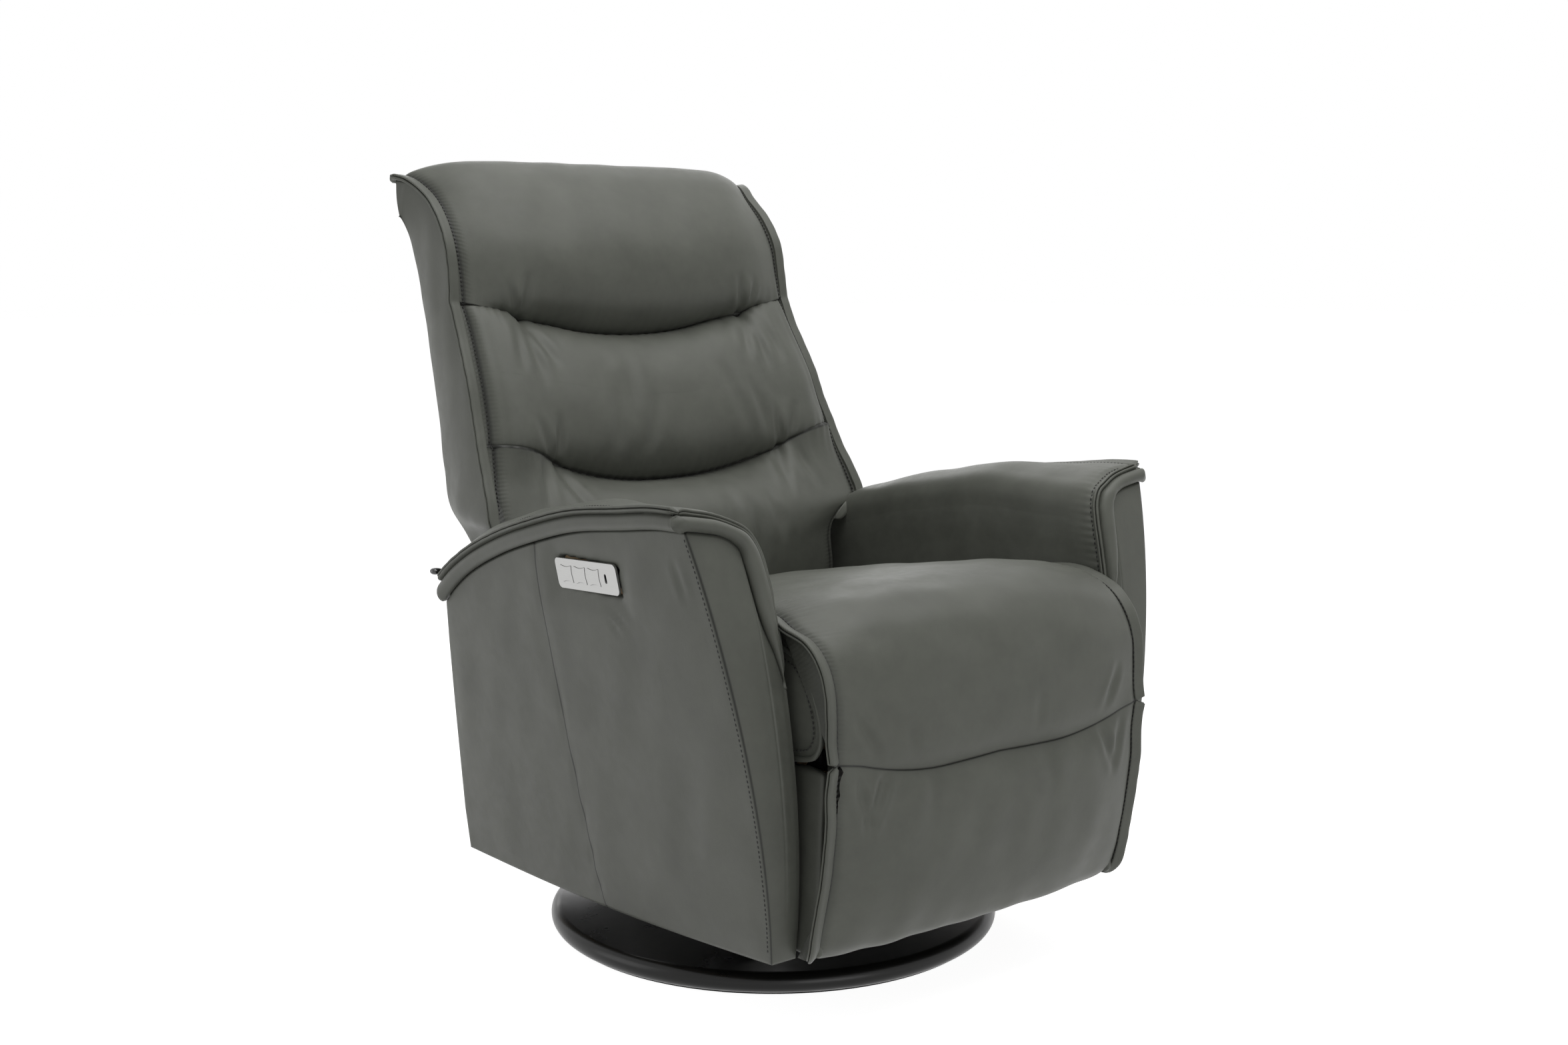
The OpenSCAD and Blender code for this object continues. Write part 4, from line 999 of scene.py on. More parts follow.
def arm_body(r, v, plated=False):
    """One ring of an arm at a share of its height, then the rings that close its top."""
    b = arm_rise(v)
    close = held((v - ARM_TOP) / 0.06)
    side = arm_side(along_side(r), b, plated)
    front = arm_front(ease(part_of(r, 1), 0.3), b)
    i = part_of(r, 2)
    inner_start = arm_front(np.ones(len(r)), b)
    z = mix(mix(FOOT_FRONT[1], .084, i), mix(.432, .40, i), b)
    inner = columns(mix(inner_start[:, 0], ARM_INSIDE, held(i * 12)),
                    mix(inner_start[:, 1], rear_y(z), i), z)
    j = part_of(r, 3)
    z = mix(.084, .40, b)
    rear_start = columns(np.full(len(r), ARM_INSIDE), rear_y(z), z)
    rear = mix(rear_start, arm_side(np.zeros(len(r)), b, plated), j[:, None])
    rear[:, 1] += 0.006 * np.sin(j * math.pi) ** 0.7
    out = np.where((r < RING[1])[:, None], side, np.where((r < RING[2])[:, None], front,
                   np.where((r < RING[3])[:, None], inner, rear)))
    core = columns(np.full(len(r), .322), np.clip(out[:, 1], -.30, .25), out[:, 2])
    core[:, 2] = np.minimum(out[:, 2], lip_z(core[:, 1]) - 0.05)
    return mix(out, core, close[:, None])


def whole_arm(side):
    """An arm's cover on one side; only the one at -x carries the control plate."""
    return sided(lambda r, v: arm_body(r, v, side < 0), side)


def arm_seam(r, v):
    """Distance from the stitched front corner, and the run down it."""
    return np.where(r < RING[1], (1 - along_side(r)) * SIDE_RUN + 0.011, 1.0), arm_rise(v) * 0.52


def arm_plain(r, v):
    """Signed distance from the plain seam down the outer side, and from the front corner."""
    b, c = arm_rise(v), along_side(r)
    middle = middle_seam(arm_side(c, b)[:, 1], b)
    corner = np.where(r < RING[1], (1 - c) * SIDE_RUN, -part_of(r, 1) * 0.1)
    out = np.where((c < 0.8) & (r < RING[1]), middle, corner)
    return np.where(r > RING[2], 1.0, out)


def lip_welt(side):
    """The line of the welt along an arm's lip up to the tip, and the way that it stands."""
    y = np.append(np.linspace(.276, -.290, 40), [-.300, -.308, -.314])
    line = columns(arm_x(lip_z(y)) - 0.002, y, lip_z(y) - 0.005)
    way = np.tile([1.0, 0.0, 0.40], (len(y), 1))
    way[-3:] = [[1.0, -.15, .40], [1.0, -.35, .42], [1.0, -.6, .45]]
    return mirrored(line, side), mirrored(unit(way), side)


def front_welt(side):
    """The same from the tip in and down the arm's front."""
    front = np.asarray(WELT_FRONT)
    turn = np.gradient(front[:, [0, 2]], axis=0)
    inward = unit(columns(turn[:, 1], np.zeros(len(front)), -turn[:, 0]))
    way = inward * np.interp(range(len(front)), [0, 3, 11], [.6, .75, .9])[:, None] + [0.0, -1.0, 0.0]
    way[0] = [0.9, -0.9, 0.75]
    way[1] = [0.15, -0.9, 0.75]
    way = unit(way)
    return mirrored(front - way * sizes().welt_depth * 0.9, side), mirrored(way, side)


# The share of the band that runs along the side, before it turns onto the front
BAND_TURN = 0.66


def band_rails(v):
    """Both edges of the band round the arm: under the welt and at its own seam."""
    c = held(v / BAND_TURN)
    f = held((v - BAND_TURN) / (1 - BAND_TURN))
    y = mix(.278, -.3145, c)
    z = lip_z(y) - 0.006
    top = columns(arm_x(z) - 0.001, y, z)
    y = mix(BAND_REAR, BAND_TIP[0], c)
    low_z = band_z(y)
    low = columns(arm_x(low_z), y, low_z)
    front = f[:, None] > 0
    inner = curve(WELT_FRONT, f)
    sink = columns(np.interp(f, [0, .5, 1], [0, .005, .004]), np.full(len(f), -.001),
                   np.interp(f, [0, .5, 1], [-.006, -.003, 0]))
    return np.where(front, inner + sink, top), np.where(front, curve(BAND_FRONT, f), low)


def band_place(u, v):
    """The band under the lip: v from the rear round onto the front, u from the lip down and back inside."""
    top, low = band_rails(v)
    e = 0.006
    ahead = band_rails(held(v + e))
    behind = band_rails(held(v - e))
    tangent = unit((ahead[0] + ahead[1]) - (behind[0] + behind[1]))
    normal = unit(np.cross(low - top, tangent))
    outer = u <= 0.6
    t = np.where(outer, held(u / 0.6), held((1 - u) / 0.4))
    wide = held(np.linalg.norm(low - top, axis=1) / 0.022)
    puff = 0.0052 * wide * np.sin(t * math.pi) ** 0.55
    # A short upright seam at the corner, with small wrinkles beside it
    tip = np.exp(-((v - BAND_TURN) / 0.035) ** 2)
    puff = puff * (1 - np.exp(-((v - BAND_TURN) / 0.008) ** 2)) + 0.0007 * np.sin(v * 420 + t * 4) * tip
    depth = np.where(outer, puff, -0.012 * wide * np.sin(t * math.pi) ** 0.4)
    return mix(top, low, t[:, None]) + normal * depth[:, None]


# How far the padded top rises over the line of the lip, by place from front to rear
PAD_CROWN = [(-.310, 0), (-.250, .003), (-.180, .013), (-.120, .020), (-.060, .024), (0, .028), (.040, .032),
             (.110, .038), (.200, .048), (.270, .050)]


def crown(y, out_share):
    """Rise of the padded top over the lip, less and less towards the outside."""
    return smooth(*zip(*PAD_CROWN), y) * (1 - out_share ** 2.2)


# The share of a ring of the pad that shows, and of its rows before they close the front
PAD_SHOWN = 0.86
PAD_END = 0.965
PAD_REAR = .270
PAD_FOOT = .405
PAD_RUN = 0.34
# How much closer the pad's rows lie at the front
PAD_BOW = 1.25
# The lip's inner and outer line at the tip, and the tip's height
LIP_IN, LIP_OUT = .281, .398
TIP_Z = .646
PAD_PROFILE = WELT_FRONT[:-1]
# The front end of the pad's outer edge, and the x of the core that its hidden faces close on
PAD_FRONT = WELT_FRONT[0][1] + 0.002
PAD_CORE_X = .325


def pad_y(front, v):
    """Place of the pad's row at v, from its rear end at 0 to the front given at 1."""
    return mix(PAD_REAR, front, 1 - (1 - v) ** PAD_BOW)


def pad_spot(profile, y, lip, tip_z=TIP_Z):
    """The front's outline carried back along the lip, and how far out its points lie, from 0 to 1."""
    out_share = held((profile[:, 0] - LIP_IN) / (LIP_OUT - LIP_IN))
    x = profile[:, 0] + (arm_x(lip) - arm_x(TIP_Z)) * out_share
    z = np.maximum(lip - (tip_z - profile[:, 2]) + crown(y, out_share), PAD_FOOT)
    return columns(x, y, z), out_share


def pad_place(u, v):
    """The padded top and inside of an arm: u from the lip in and down, v from the rear to the front."""
    close = held((v - PAD_END) / 0.035)
    v = held(v / PAD_END)
    t = ease(held(u / PAD_SHOWN), -0.25)
    profile = curve(PAD_PROFILE, t)
    y = pad_y(profile[:, 1] + 0.002, v)
    lip = lip_z(y)
    spot, out_share = pad_spot(profile, y, lip, lip_z(np.array([-.313])))
    spot[:, 0] -= 0.005 * held(out_share - 0.9)
    ahead = held((y - profile[:, 1]) / 0.016)
    roll = 0.008 * (1 - np.sqrt(held(1 - (1 - ahead) ** 2)))
    turn = curve(PAD_PROFILE, held(t + 0.01)) - curve(PAD_PROFILE, held(t - 0.01))
    normal = unit(columns(turn[:, 2], np.zeros(len(t)), -turn[:, 0]))
    swell = 0.004 * np.sin(held(t / 0.55) * math.pi) * ahead
    uneven = 0.0008 * ripple(y, t * 0.2, 21) * ahead
    gathers = 0.0010 * np.sin(t * 2 * math.pi * 26) * np.exp(-(y - profile[:, 1]) / 0.012)
    gathers *= held(t * 4)
    spot += normal * (swell + uneven + gathers - roll)[:, None]
    # The hidden return goes from the pad's foot through the arm to the lip
    rest = held((u - PAD_SHOWN) / (1 - PAD_SHOWN))[:, None]
    outer_y = pad_y(PAD_FRONT, v)
    outer_lip = lip_z(outer_y)
    inside = columns(np.full(len(u), PAD_CORE_X), outer_y, np.maximum(outer_lip - .09, .36))
    first = pad_spot(curve(PAD_PROFILE, np.ones(len(u))), y, lip)[0]
    last = pad_spot(curve(PAD_PROFILE, np.zeros(len(u))), outer_y, outer_lip)[0]
    hidden = np.where(rest < 0.5, mix(first, inside, rest * 2), mix(inside, last, rest * 2 - 1))
    here = np.where((u <= PAD_SHOWN)[:, None], spot, hidden)
    return mix(here, np.array([PAD_CORE_X, -.29, .55]), close[:, None])


def pad_seam(u, v):
    """Distance from the nearer of the stitches along the lip and on the front, and the run along it."""
    t = held(u / PAD_SHOWN)
    profile = curve(PAD_PROFILE, t)
    y = pad_y(profile[:, 1] + 0.004, v)
    run = ease(t, -0.25) * PAD_RUN
    front_gap = y - profile[:, 1]
    return np.where(u < PAD_SHOWN, np.minimum(run, front_gap), 1.0), np.where(run < front_gap, y, run)


class CHAIR_OT_arms(bpy.types.Operator):
    """Makes both arms: outer covering, band, padded top, welt and stitches"""
    bl_idname = "chair.arms"
    bl_label = "Arms"

    def execute(self, context):
        for side, word in SIDES:
            bm = skin(260, 100, whole_arm(side), arm_seam, plain=arm_plain)
            cover = new_piece(f"{word}_arm_cover", bm, "chair_frame")
            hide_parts(f"{word}_arm_side_pad", f"{word}_arm_front_pad")
            new_piece(f"{word}_arm_band", skin(26, 230, sided(band_place, side)), "chair_frame")
            bm = skin(120, 130, sided(pad_place, side), pad_seam)
            pad = new_piece(f"{word}_arm_pad", bm, "chair_frame")
            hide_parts(f"{word}_arm_inner_pad")
            welt(f"{word}_lip_welt", *lip_welt(side), "chair_frame", taper=(0.012, 0.006))
            welt(f"{word}_arm_front_welt", *front_welt(side), "chair_frame", taper=(0.006, 0.05))
            self.sew(side, word)
        return {"FINISHED"}

    def sew(self, side, word):
        """Stitches along the lip, on the front and down the outer side's front corner."""
        pad = sided(pad_place, side)
        y = np.linspace(.25, -.30, 200)
        v = PAD_END * (1 - (1 - (y - PAD_REAR) / (PAD_FRONT - PAD_REAR)) ** (1 / PAD_BOW))
        u = np.full(200, PAD_SHOWN * 0.040)
        normal = facing(pad, u, v, side)
        normal[:, 2] = np.abs(normal[:, 2])
        self.row(f"{word}_lip_stitches", pad(u, v), normal)
        u = PAD_SHOWN * np.linspace(0.10, 0.90, 200)
        v = np.full(200, PAD_END * 0.972)
        normal = facing(pad, u, v, side)
        normal *= np.sign(normal[:, :1] * -side + normal[:, 2:])
        self.row(f"{word}_arm_front_stitches", pad(u, v), normal)
        spot = whole_arm(side)(np.full(200, RING[1] * 0.985), np.linspace(0.03, 0.93, 200))
        self.row(f"{word}_corner_stitches", spot, np.tile([side, 0.0, -ARM_LEAN], (200, 1)))

    def row(self, name, spot, normal):
        stitches(name, spot, np.gradient(spot, axis=0), normal, "chair_frame")


# ---- The seat and the leg rest ----

SEAT_MID = [(.235, .440), (.150, .457), (.030, .482), (-.120, .507), (-.250, .527), (-.340, .532),
            (-.385, .523), (-.418, .500), (-.438, .465), (-.447, .425), (-.450, .385), (-.448, .350),
            (-.440, .330)]
SEAT_SIDE = [(.262, .235, .420), (.265, .150, .440), (.272, .030, .462), (.274, -.120, .484),
             (.276, -.250, .505), (.280, -.335, .508), (.283, -.363, .499), (.277, -.394, .487),
             (.275, -.416, .465), (.275, -.428, .436), (.275, -.431, .406), (.275, -.432, .372),
             (.275, -.436, .351)]
# The seam between the seat and the leg pad: share of the half-width, place and height
PAD_SEAM = [(0, -.440, .328), (.22, -.440, .326), (.44, -.440, .326), (.60, -.440, .331), (.76, -.440, .340),
            (.86, -.439, .347), (.96, -.438, .351), (1, -.436, .351)]
LEG_MID = [(-.440, .328), (-.450, .310), (-.454, .280), (-.453, .240), (-.448, .200), (-.440, .165),
           (-.428, .135), (-.412, .112), (-.392, .101), (-.365, .098)]
LEG_SIDE = [(.275, -.436, .351), (.275, -.431, .320), (.275, -.431, .279), (.275, -.427, .246),
            (.275, -.422, .213), (.276, -.415, .179), (.277, -.408, .146), (.275, -.400, .120),
            (.272, -.390, .108), (.270, -.365, .104)]
PAD_INSET = 0.011
# Lengths of both panels from top to bottom
SEAT_RUN = 0.85
LEG_RUN = 0.27
# Folds beside the pad's seam: (x, height, degrees from upright, length, width, depth)
KNEE_FOLDS = [(-.214, .372, -30, .096, .0065, .0040), (.198, .376, 26, .088, .0065, .0035),
              (-.150, .362, -12, .064, .0078, .0014), (.060, .366, 8, .072, .0078, .0012),
              (-.185, .395, -50, .112, .0091, .0016)]
LEG_FOLDS = [(-.200, .308, 24, .112, .0065, .0045), (-.222, .300, -14, .096, .0065, .0035),
             (.190, .312, -24, .104, .0065, .0040), (.216, .304, 12, .096, .0065, .0030),
             (-.120, .300, 10, .096, .0104, .0012), (.080, .300, -8, .096, .0104, .0012)]


def panel_front(u, p, mid, side, seam, power, seam_at_end):
    """A panel between a middle line and a side line, pulled to a seam at its start or its end."""
    a = np.abs(u)
    edge = curve(side, p)
    weight = (a ** power)[:, None]
    here = mix(curve(mid, p), edge[:, 1:], weight)
    end = -1 if seam_at_end else 0
    start = mix(np.array(mid[end]), np.array(side[end][1:]), weight)
    here = seam_pull((start, here), seam, a, 1 - p if seam_at_end else p, 0.25)
    return columns(u * (edge[:, 0] - PAD_INSET), here)


def closed_panel(panel, core, folds, rows, seed, gather=None):
    """A closed cushion of a front panel and a hidden core; folds are given by x and height."""
    def place(r, v):
        p = rows(v)
        front, u, rest = back_split(r)
        spot = panel(u, p)
        normal = facing(panel, u, p, -1, -1, 1)
        calm = held((1 - np.abs(u)) / 0.08) * held(np.minimum(p, 1 - p) / 0.06)
        uneven = 0.0009 * ripple(spot[:, 0], spot[:, 1] + spot[:, 2], seed)
        lift = creases(spot[:, 0], spot[:, 2], folds) * calm + uneven * calm
        lift -= valley((1 - np.abs(u)) * SEAT_HALF)
        if gather:
            lift += gather(u, p)
        spot[front] += (normal * lift[:, None])[front]
        width = panel(np.ones(len(p)), p)[:, 0] * 0.95
        hidden = columns(width * (1 - 2 * rest), curve(core, p))
        spot[~front] = hidden[~front]
        return spot
    return place


def seat_panel(u, p):
    return panel_front(u, p, SEAT_MID, SEAT_SIDE, PAD_SEAM, 4.5, True)


def leg_panel(u, p):
    return panel_front(u, p, LEG_MID, LEG_SIDE, PAD_SEAM, 3.5, False)


def knee_gathers(u, p):
    """Dense short gathers where the cover is drawn round the corner of its welt."""
    here = np.exp(-(np.abs(p - 0.69) / 0.085) ** 3)
    edge = (1 - np.abs(u)) * SEAT_HALF
    uneven = 0.5 * ripple(p * SEAT_RUN, u * 0.02, 8, short=0.012, long=0.030)
    wave = np.sin(p * SEAT_RUN * 2 * math.pi / 0.0098 + u * 3 + 2.2 * uneven)
    reach = 0.014 * (1.2 + 0.5 * uneven)
    return here * (0.0022 * wave - 0.0012) * np.exp(-edge / reach) * held(edge / 0.003)


def panel_plain(panel, rows, length):
    """Signed distance from the seam between the seat and the leg pad."""
    def plain(r, v):
        away = 1 - rows(v) if panel is seat_panel else rows(v)
        return np.where(r <= FRONT_SHARE, away * length, 1.0)
    return plain


def panel_seam(rows, length):
    """Distance from the stitched sides, and the run along them."""
    def seam(r, v):
        front, u, _ = back_split(r)
        return np.where(front, (1 - np.abs(u)) * SEAT_HALF, 1.0), rows(v) * length
    return seam


SEAT_CORE = [(.235, .41), (-.120, .43), (-.270, .44), (-.365, .43), (-.395, .40), (-.405, .37), (-.410, .35)]
LEG_CORE = [(-.410, .345), (-.412, .280), (-.406, .20), (-.396, .15), (-.375, .115), (-.360, .108)]
KNEE_BEND = ("chair_frame", "knee_link", (0, -.30, .50), (0, -.44, .36))
SHIN_BEND = ("knee_link", "leg_rest", (0, -.42, .352), (0, -.42, .30))


def seat_rows(v):
    """Rows that lie closer together at the knee."""
    return v + 0.6 * (v - v * v) * (v + 0.2)


def leg_rows(v):
    return ease(v, 0.5)


class CHAIR_OT_seat(bpy.types.Operator):
    """Makes the seat with its rolled front, the leg pad, their welts and stitches"""
    bl_idname = "chair.seat"
    bl_label = "Seat and leg pad"

    def execute(self, context):
        inset = sizes().stitch_inset
        # Name, front, rows, core, folds, count of rows, seed, bend, gathers, length, and span of the welts
        jobs = (("seat_cover", seat_panel, seat_rows, SEAT_CORE, KNEE_FOLDS, 430, 10, KNEE_BEND,
                 knee_gathers, SEAT_RUN, (.60, 1.0)),
                ("leg_pad_cover", leg_panel, leg_rows, LEG_CORE, LEG_FOLDS, 110, 13, SHIN_BEND,
                 None, LEG_RUN, (0.0, .93)))
        for name, panel, rows, core, folds, count, seed, bend, gather, length, span in jobs:
            on_seat = panel is seat_panel
            place = closed_panel(panel, core, folds, rows, seed, gather)
            bm = skin(150, count, place, panel_seam(rows, length), plain=panel_plain(panel, rows, length))
            cover = new_piece(name, bm, None)
            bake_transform(cover)
            if on_seat:
                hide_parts("seat_cushion", "knee_roll")
            else:
                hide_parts("leg_pad")
            for side, word in SIDES:
                spot, normal, _ = edge_of(panel, np.linspace(*span, 50), side, 0.0, SEAT_HALF, 1, -1)
                # Both welts meet at the seam between the panels and stand the same way there
                meet = np.exp(-((spot[:, 2:] - PAD_SEAM[-1][2]) / 0.035) ** 2)
                normal = mix(normal, np.array([[0.0, -1.0, 0.0]]), meet)
                out = unit(np.array([[side * 0.9, 0.0, 0.0]]) + normal * 0.35)
                ends = (0.03, 0.001) if on_seat else (0.001, 0.03)
                trim = welt(f"{word}_{name}_welt", spot - out * 0.003, out, None, ends)
                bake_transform(trim)
                p = np.linspace(span[0] + 0.01, span[1] - 0.01, 300)
                spot, normal, along = edge_of(panel, p, side, inset, SEAT_HALF, 1, -1)
                stitches(f"{word}_{name}_stitches", spot, along, normal, None, bend)
        return {"FINISHED"}


# ---- The boxing beside the knee and the sides of the leg rest ----

# Outline of the seat's boxing: place from front to rear, and height
BOXING = [(-.300, .480), (-.353, .473), (-.372, .465), (-.387, .451), (-.398, .433), (-.407, .412),
          (-.413, .392), (-.412, .370), (-.402, .356), (-.385, .350), (-.366, .347), (-.300, .346)]
BOXING_X = 0.2555
BOXING_T = 0.008
PIPING = 0.0032


def disc_place(side):
    """A flat padded panel square to X, with a rounded rim."""
    ring = np.vstack([BOXING, BOXING[:1]])
    middle = np.array([-.352, .412])

    def place(u, v):
        turn = held((v - 0.25) / 0.2) * math.pi
        grow = np.where(v < 0.25, v / 0.25, np.where(v > 0.45, (1 - v) / 0.55, 1.0))
        out = curve(ring, u) - middle
        rim = 0.06 * (1 - np.sin(turn)) * (grow >= 0.999)
        flat = middle + out * (np.clip(grow, 0.001, 1) * (0.94 + 0.06 * (grow >= 0.999)) - rim)[:, None]
        lift = BOXING_T * (1 - np.cos(turn)) / 2 + 0.0035 * (1 - grow ** 3) * (v > 0.45)
        return columns(side * (BOXING_X + lift), flat)
    return place


def leg_side_place(u, v):
    """A rounded leather side of the leg rest's box."""
    angle = u * 2 * math.pi
    c, s = np.cos(angle), np.sin(angle)
    super_c = np.sign(c) * np.abs(c) ** 0.6
    super_s = np.sign(s) * np.abs(s) ** 0.6
    grow = held(np.minimum(v, 1 - v) / 0.03)
    grow = np.sqrt(1 - (1 - grow) ** 2) * 0.999 + 0.001
    y = np.interp(v, [0, 1], [-.372, -.380]) + 0.030 * super_c * grow
    x = 0.2525 + 0.0065 * super_s * grow + 0.0015 * np.sin(v * math.pi)
    return columns(x, y, mix(.108, .340, v))


class CHAIR_OT_boxing(bpy.types.Operator):
    """Makes the seat's boxing beside the knee and the leather sides of the leg rest"""
    bl_idname = "chair.boxing"
    bl_label = "Boxing"

    def execute(self, context):
        for side, word in SIDES:
            new_piece(f"{word}_boxing", skin(90, 60, disc_place(side)), "chair_frame")
            ring = curve(BOXING, np.linspace(0.05, 0.97, 60))
            line = columns(np.full(60, side * (BOXING_X + BOXING_T)), ring)
            self.piping(f"{word}_boxing_piping", line)
            inner = curve(BOXING, np.linspace(0.08, 0.94, 200))
            inner = inner + (np.array([-.350, .410]) - inner) * 0.16
            spot = columns(np.full(200, side * (BOXING_X + BOXING_T + 0.0030)), inner)
            stitches(f"{word}_boxing_stitches", spot, np.gradient(spot, axis=0),
                     np.tile([side, 0.0, 0.0], (200, 1)), "chair_frame")
            new_piece(f"{word}_leg_side", skin(40, 60, sided(leg_side_place, side)), "leg_rest")
        return {"FINISHED"}

    def piping(self, name, line):
        """A round cord covered in leather along a line in a plane square to X."""
        knots = shares(line)

        def place(u, v):
            ahead, behind = held(v + 0.01), held(v - 0.01)
            run = smooth(knots, line, ahead) - smooth(knots, line, behind)
            way = unit(np.cross(run, np.array([[1.0, 0.0, 0.0]])))
            grow = np.sqrt(1 - (1 - np.clip(np.minimum(v, 1 - v) / 0.02, 0.02, 1)) ** 2)
            turn = (u * 2 * math.pi)[:, None]
            out = way * np.sin(turn) + np.array([1.0, 0, 0]) * np.cos(turn)
            return smooth(knots, line, v) + out * (PIPING * grow)[:, None]
        new_piece(name, skin(14, 160, place), "chair_frame")


# ---- The release lever ----

LEVER_LOW, LEVER_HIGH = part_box("release_lever")
# Half of the lever's outline: distance from its knob's end, and radius
LEVER = [(0, 0), (.0004, .0020), (.0020, .0040), (.0055, .0055), (.0100, .0056), (.0145, .0046),
         (.0180, .0034), (.0240, .0032), (.0900, .0032)]


class CHAIR_OT_lever(bpy.types.Operator):
    """Makes the glossy lever that releases the recline"""
    bl_idname = "chair.lever"
    bl_label = "Release lever"

    def execute(self, context):
        y, z = (LEVER_LOW[1] + LEVER_HIGH[1]) / 2, (LEVER_LOW[2] + LEVER_HIGH[2]) / 2
        bm = bmesh.new()
        spots = curve(LEVER, np.linspace(0, 1, 60))
        verts = [bm.verts.new((LEVER_LOW[0] + 0.002 + a, y, z + b)) for a, b in spots]
        edges = [bm.edges.new(pair) for pair in zip(verts, verts[1:])]
        bmesh.ops.spin(bm, geom=verts + edges, cent=(0, y, z), axis=(1, 0, 0), angle=2 * math.pi, steps=40,
                       use_merge=True)
        bmesh.ops.remove_doubles(bm, verts=bm.verts, dist=1e-6)
        bmesh.ops.holes_fill(bm, edges=[e for e in bm.edges if e.is_boundary], sides=0)
        # The knob is a little taller than it is deep
        knob = [v for v in bm.verts if v.co.x < LEVER_LOW[0] + 0.022]
        bmesh.ops.scale(bm, vec=(1, 1.35, 0.9), verts=knob, space=Matrix.Translation((0, -y, -z)))
        bmesh.ops.recalc_face_normals(bm, faces=bm.faces)
        piece = new_piece("lever_knob", bm, "lever", "lever_gloss")
        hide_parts("release_lever")
        return {"FINISHED"}


# ---- The lower rear panel ----

REAR_LOW, REAR_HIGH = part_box("rear_cover")


class CHAIR_OT_rear(bpy.types.Operator):
    """Makes the leather panel that closes the rear between the arms"""
    bl_idname = "chair.rear"
    bl_label = "Rear panel"

    def execute(self, context):
        low, high = REAR_LOW, REAR_HIGH

        def place(u, v):
            front, x, rest = back_split(u)
            rise = ease(v, 0.6)
            z = mix(low[2], high[2], rise)
            half = rear_half(z)
            edge = (1 - np.abs(x) ** 8) * (1 - np.abs(2 * rise - 1) ** 8)
            y = mix(low[1], high[1], 0.5) + 0.007 * np.sqrt(held(edge))
            y = y + 0.0007 * ripple(x * half, z, 41) * edge
            flat = columns(x * half, y, z)
            hidden = columns(half * (1 - 2 * rest), np.full(len(u), low[1]), z)
            return np.where(front[:, None], flat, hidden)

        piece = new_piece("rear_panel_cover", skin(120, 80, place), "chair_frame")
        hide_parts("rear_cover")
        return {"FINISHED"}


def rear_half(z):
    """Half-width of the rear panel: it fits between the leaning arms."""
    mesh = NODES["rear_cover"].data
    spots = np.array([v.co for v in mesh.vertices])
    heights = np.unique(spots[:, 2].round(4))
    reach = [np.abs(spots[np.abs(spots[:, 2] - h) < 2e-4][:, 0]).max() for h in heights]
    # The heights of the openings in it say nothing about its outline
    outline = [i for i, r in enumerate(reach) if r > 0.8 * max(reach)]
    return np.interp(z, heights[outline], np.array(reach)[outline])


# ---- CAD parts, studio ----

class CHAIR_OT_finishes(bpy.types.Operator):
    """Gives every part of the mechanism and the foot its finish"""
    bl_idname = "chair.finishes"
    bl_label = "Finishes"

    def execute(self, context):
        for piece in NODES.values():
            for slot in piece.material_slots:
                name = slot.name.split(".")[0]
                if name not in MAKERS:
                    raise RuntimeError(f"no finish for {name}")
                slot.material = finish_of(name)
        return {"FINISHED"}


def backdrop_finish():
    """A white floor that keeps the chair's shadow and shows plain white to the camera and in gloss."""
    f = Finish("backdrop", specular=0.0)
    paper = f.noise(900.0, 2.0)
    colour = f.blend(paper * 0.02, rgba(colours().backdrop, 0.8), rgba(colours().backdrop, 0.78))
    material = f.finish(colour, 0.9)
    glow = f.node("Emission", {}, Color=WHITE, Strength=colours().floor_glow)
    soft = f.node("BsdfDiffuse", {}, Color=(0.5, 0.5, 0.5, 1))
    shown = f.node("AddShader", {}, glow.out(), soft.out())
    choice = f.node("MixShader", {}, f.white_rays(), Value(f, f.shader.outputs[0]), shown.out())
    f.put(f.tree.nodes["Material Output"].inputs["Surface"], choice.out())
    return material


# The lamps, all turned to the chair: name, place, size and power
LAMPS = [("top", (0.2, -0.5, 3.3), 2.6, 65), ("left", (-3.0, 1.5, 1.2), 2.0, 17),
         ("front", (-0.6, -3.0, 0.15), 1.8, 20), ("rear", (1.6, 3.0, 2.0), 2.4, 20)]
LAMP_TARGET = Vector((0, 0, 0.5))
ROOM_LIGHT = 0.21
CAMERA_SPOT = (-1.6245, -2.0137, 0.9198)
CAMERA_WAY = Vector((0.6264, 0.7674, -0.1368))


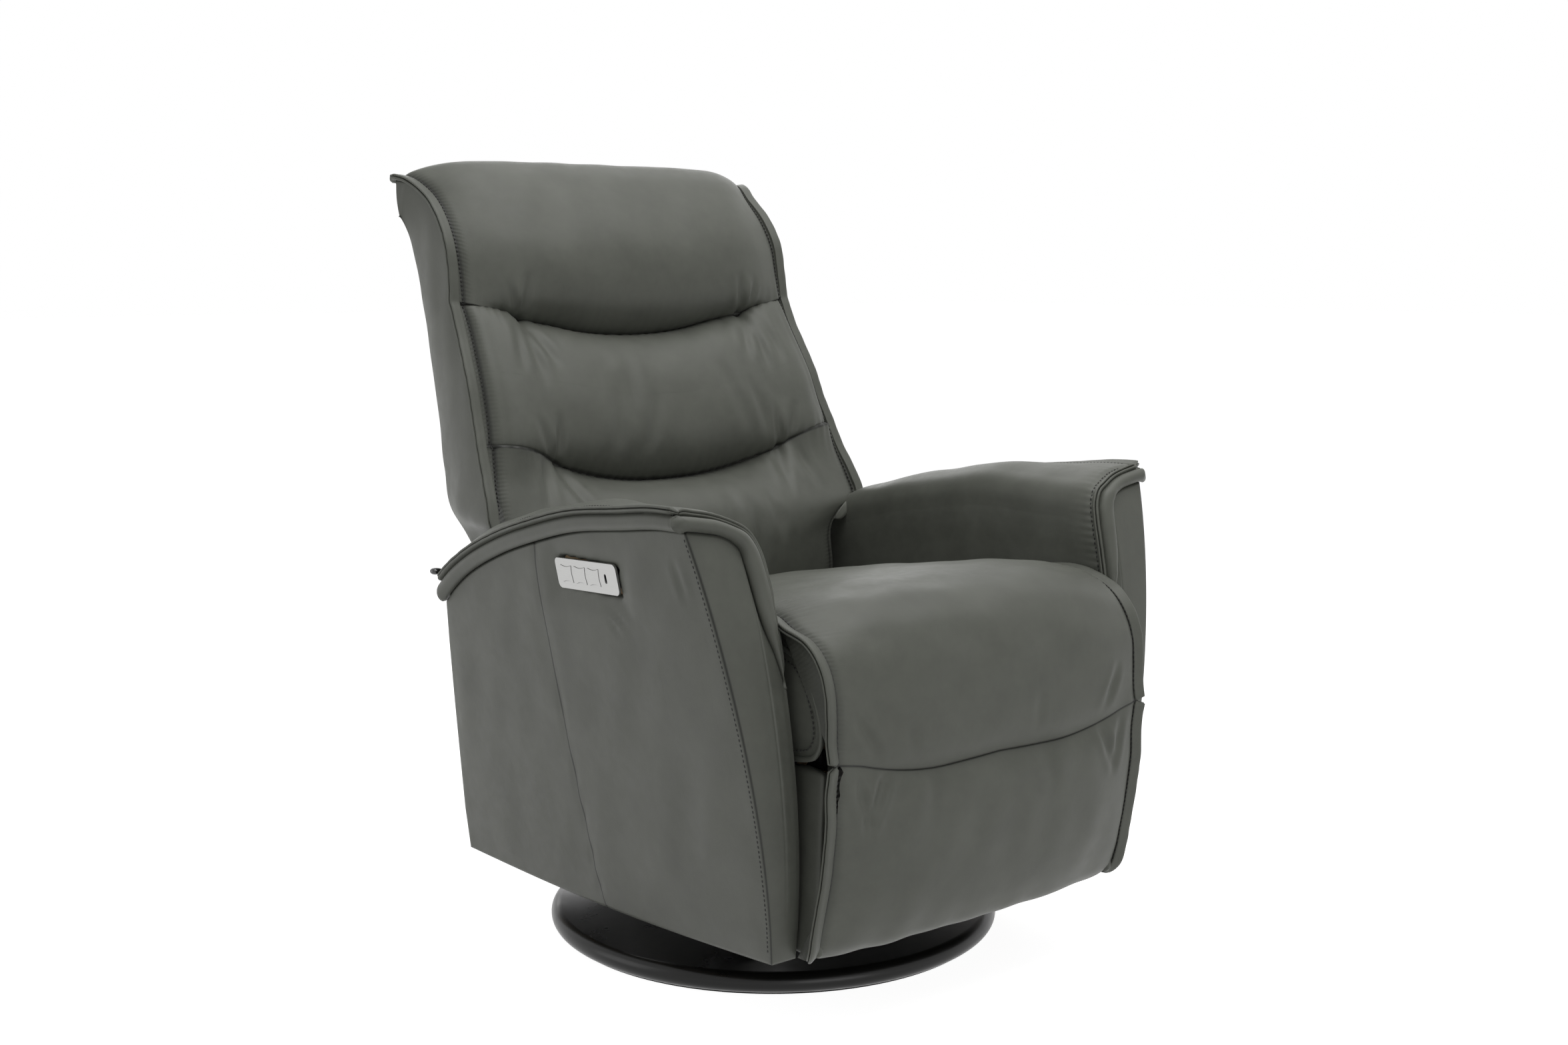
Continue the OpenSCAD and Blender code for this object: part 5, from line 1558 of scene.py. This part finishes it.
class CHAIR_OT_studio(bpy.types.Operator):
    """Sets up the floor, the lamps, the world and the camera"""
    bl_idname = "chair.studio"
    bl_label = "Studio"

    def execute(self, context):
        scene = context.scene
        bm = bmesh.new()
        bmesh.ops.create_grid(bm, x_segments=1, y_segments=1, size=30.0)
        mesh = bpy.data.meshes.new("floor")
        bm.to_mesh(mesh)
        bm.free()
        mesh.materials.append(backdrop_finish())
        floor = bpy.data.objects.new("floor", mesh)
        scene.collection.objects.link(floor)
        for lamp in LAMPS:
            self.lamp(*lamp)
        self.room(scene)
        view = bpy.data.cameras.new("camera")
        view.lens = 43.29
        view.sensor_width = 36.0
        camera = bpy.data.objects.new("camera", view)
        camera.location = CAMERA_SPOT
        camera.rotation_euler = CAMERA_WAY.to_track_quat("-Z", "Y").to_euler()
        scene.collection.objects.link(camera)
        scene.camera = camera
        scene.view_settings.view_transform = "Standard"
        return {"FINISHED"}

    def lamp(self, name, spot, size, power):
        light = bpy.data.lights.new(name, "AREA")
        light.size = size
        light.energy = power
        lamp = bpy.data.objects.new(name, light)
        lamp.location = spot
        lamp.rotation_euler = (LAMP_TARGET - Vector(spot)).to_track_quat("-Z", "Y").to_euler()
        bpy.context.scene.collection.objects.link(lamp)

    def room(self, scene):
        """A world of plain soft light that looks white."""
        world = bpy.data.worlds.new("room")
        world.use_nodes = True
        scene.world = world
        shading = Shading(world.node_tree)
        nodes = world.node_tree.nodes
        nodes.remove(nodes["Background"])
        light = shading.node("Background", {}, WHITE, ROOM_LIGHT)
        white = shading.node("Background", {}, WHITE, 1.0)
        choice = shading.node("MixShader", {}, shading.white_rays(), light.out(), white.out())
        shading.put(nodes["World Output"].inputs["Surface"], choice.out())


PIECES = (CHAIR_OT_finishes, CHAIR_OT_back, CHAIR_OT_shell, CHAIR_OT_arms, CHAIR_OT_seat, CHAIR_OT_boxing,
          CHAIR_OT_lever, CHAIR_OT_rear, CHAIR_OT_studio)


class CHAIR_PT_panel(bpy.types.Panel):
    """Lists the chair's pieces in the sidebar"""
    bl_label = "Chair"
    bl_idname = "CHAIR_PT_panel"
    bl_space_type = "VIEW_3D"
    bl_region_type = "UI"
    bl_category = "Chair"

    def draw(self, context):
        for piece in PIECES:
            self.layout.operator(piece.bl_idname)


CLASSES = (ChairSizes, ChairColours, *PIECES, CHAIR_PT_panel)


def register():
    for kind in CLASSES:
        bpy.utils.register_class(kind)
    bpy.types.Scene.chair_sizes = bpy.props.PointerProperty(type=ChairSizes)
    bpy.types.Scene.chair_colours = bpy.props.PointerProperty(type=ChairColours)


def unregister():
    del bpy.types.Scene.chair_colours
    del bpy.types.Scene.chair_sizes
    for kind in reversed(CLASSES):
        bpy.utils.unregister_class(kind)


def main():
    register()
    bpy.ops.chair.finishes()
    bpy.ops.chair.back()
    bpy.ops.chair.shell()
    bpy.ops.chair.arms()
    bpy.ops.chair.seat()
    bpy.ops.chair.boxing()
    bpy.ops.chair.lever()
    bpy.ops.chair.rear()
    bpy.ops.chair.studio()


if __name__ == "__main__":
    main()
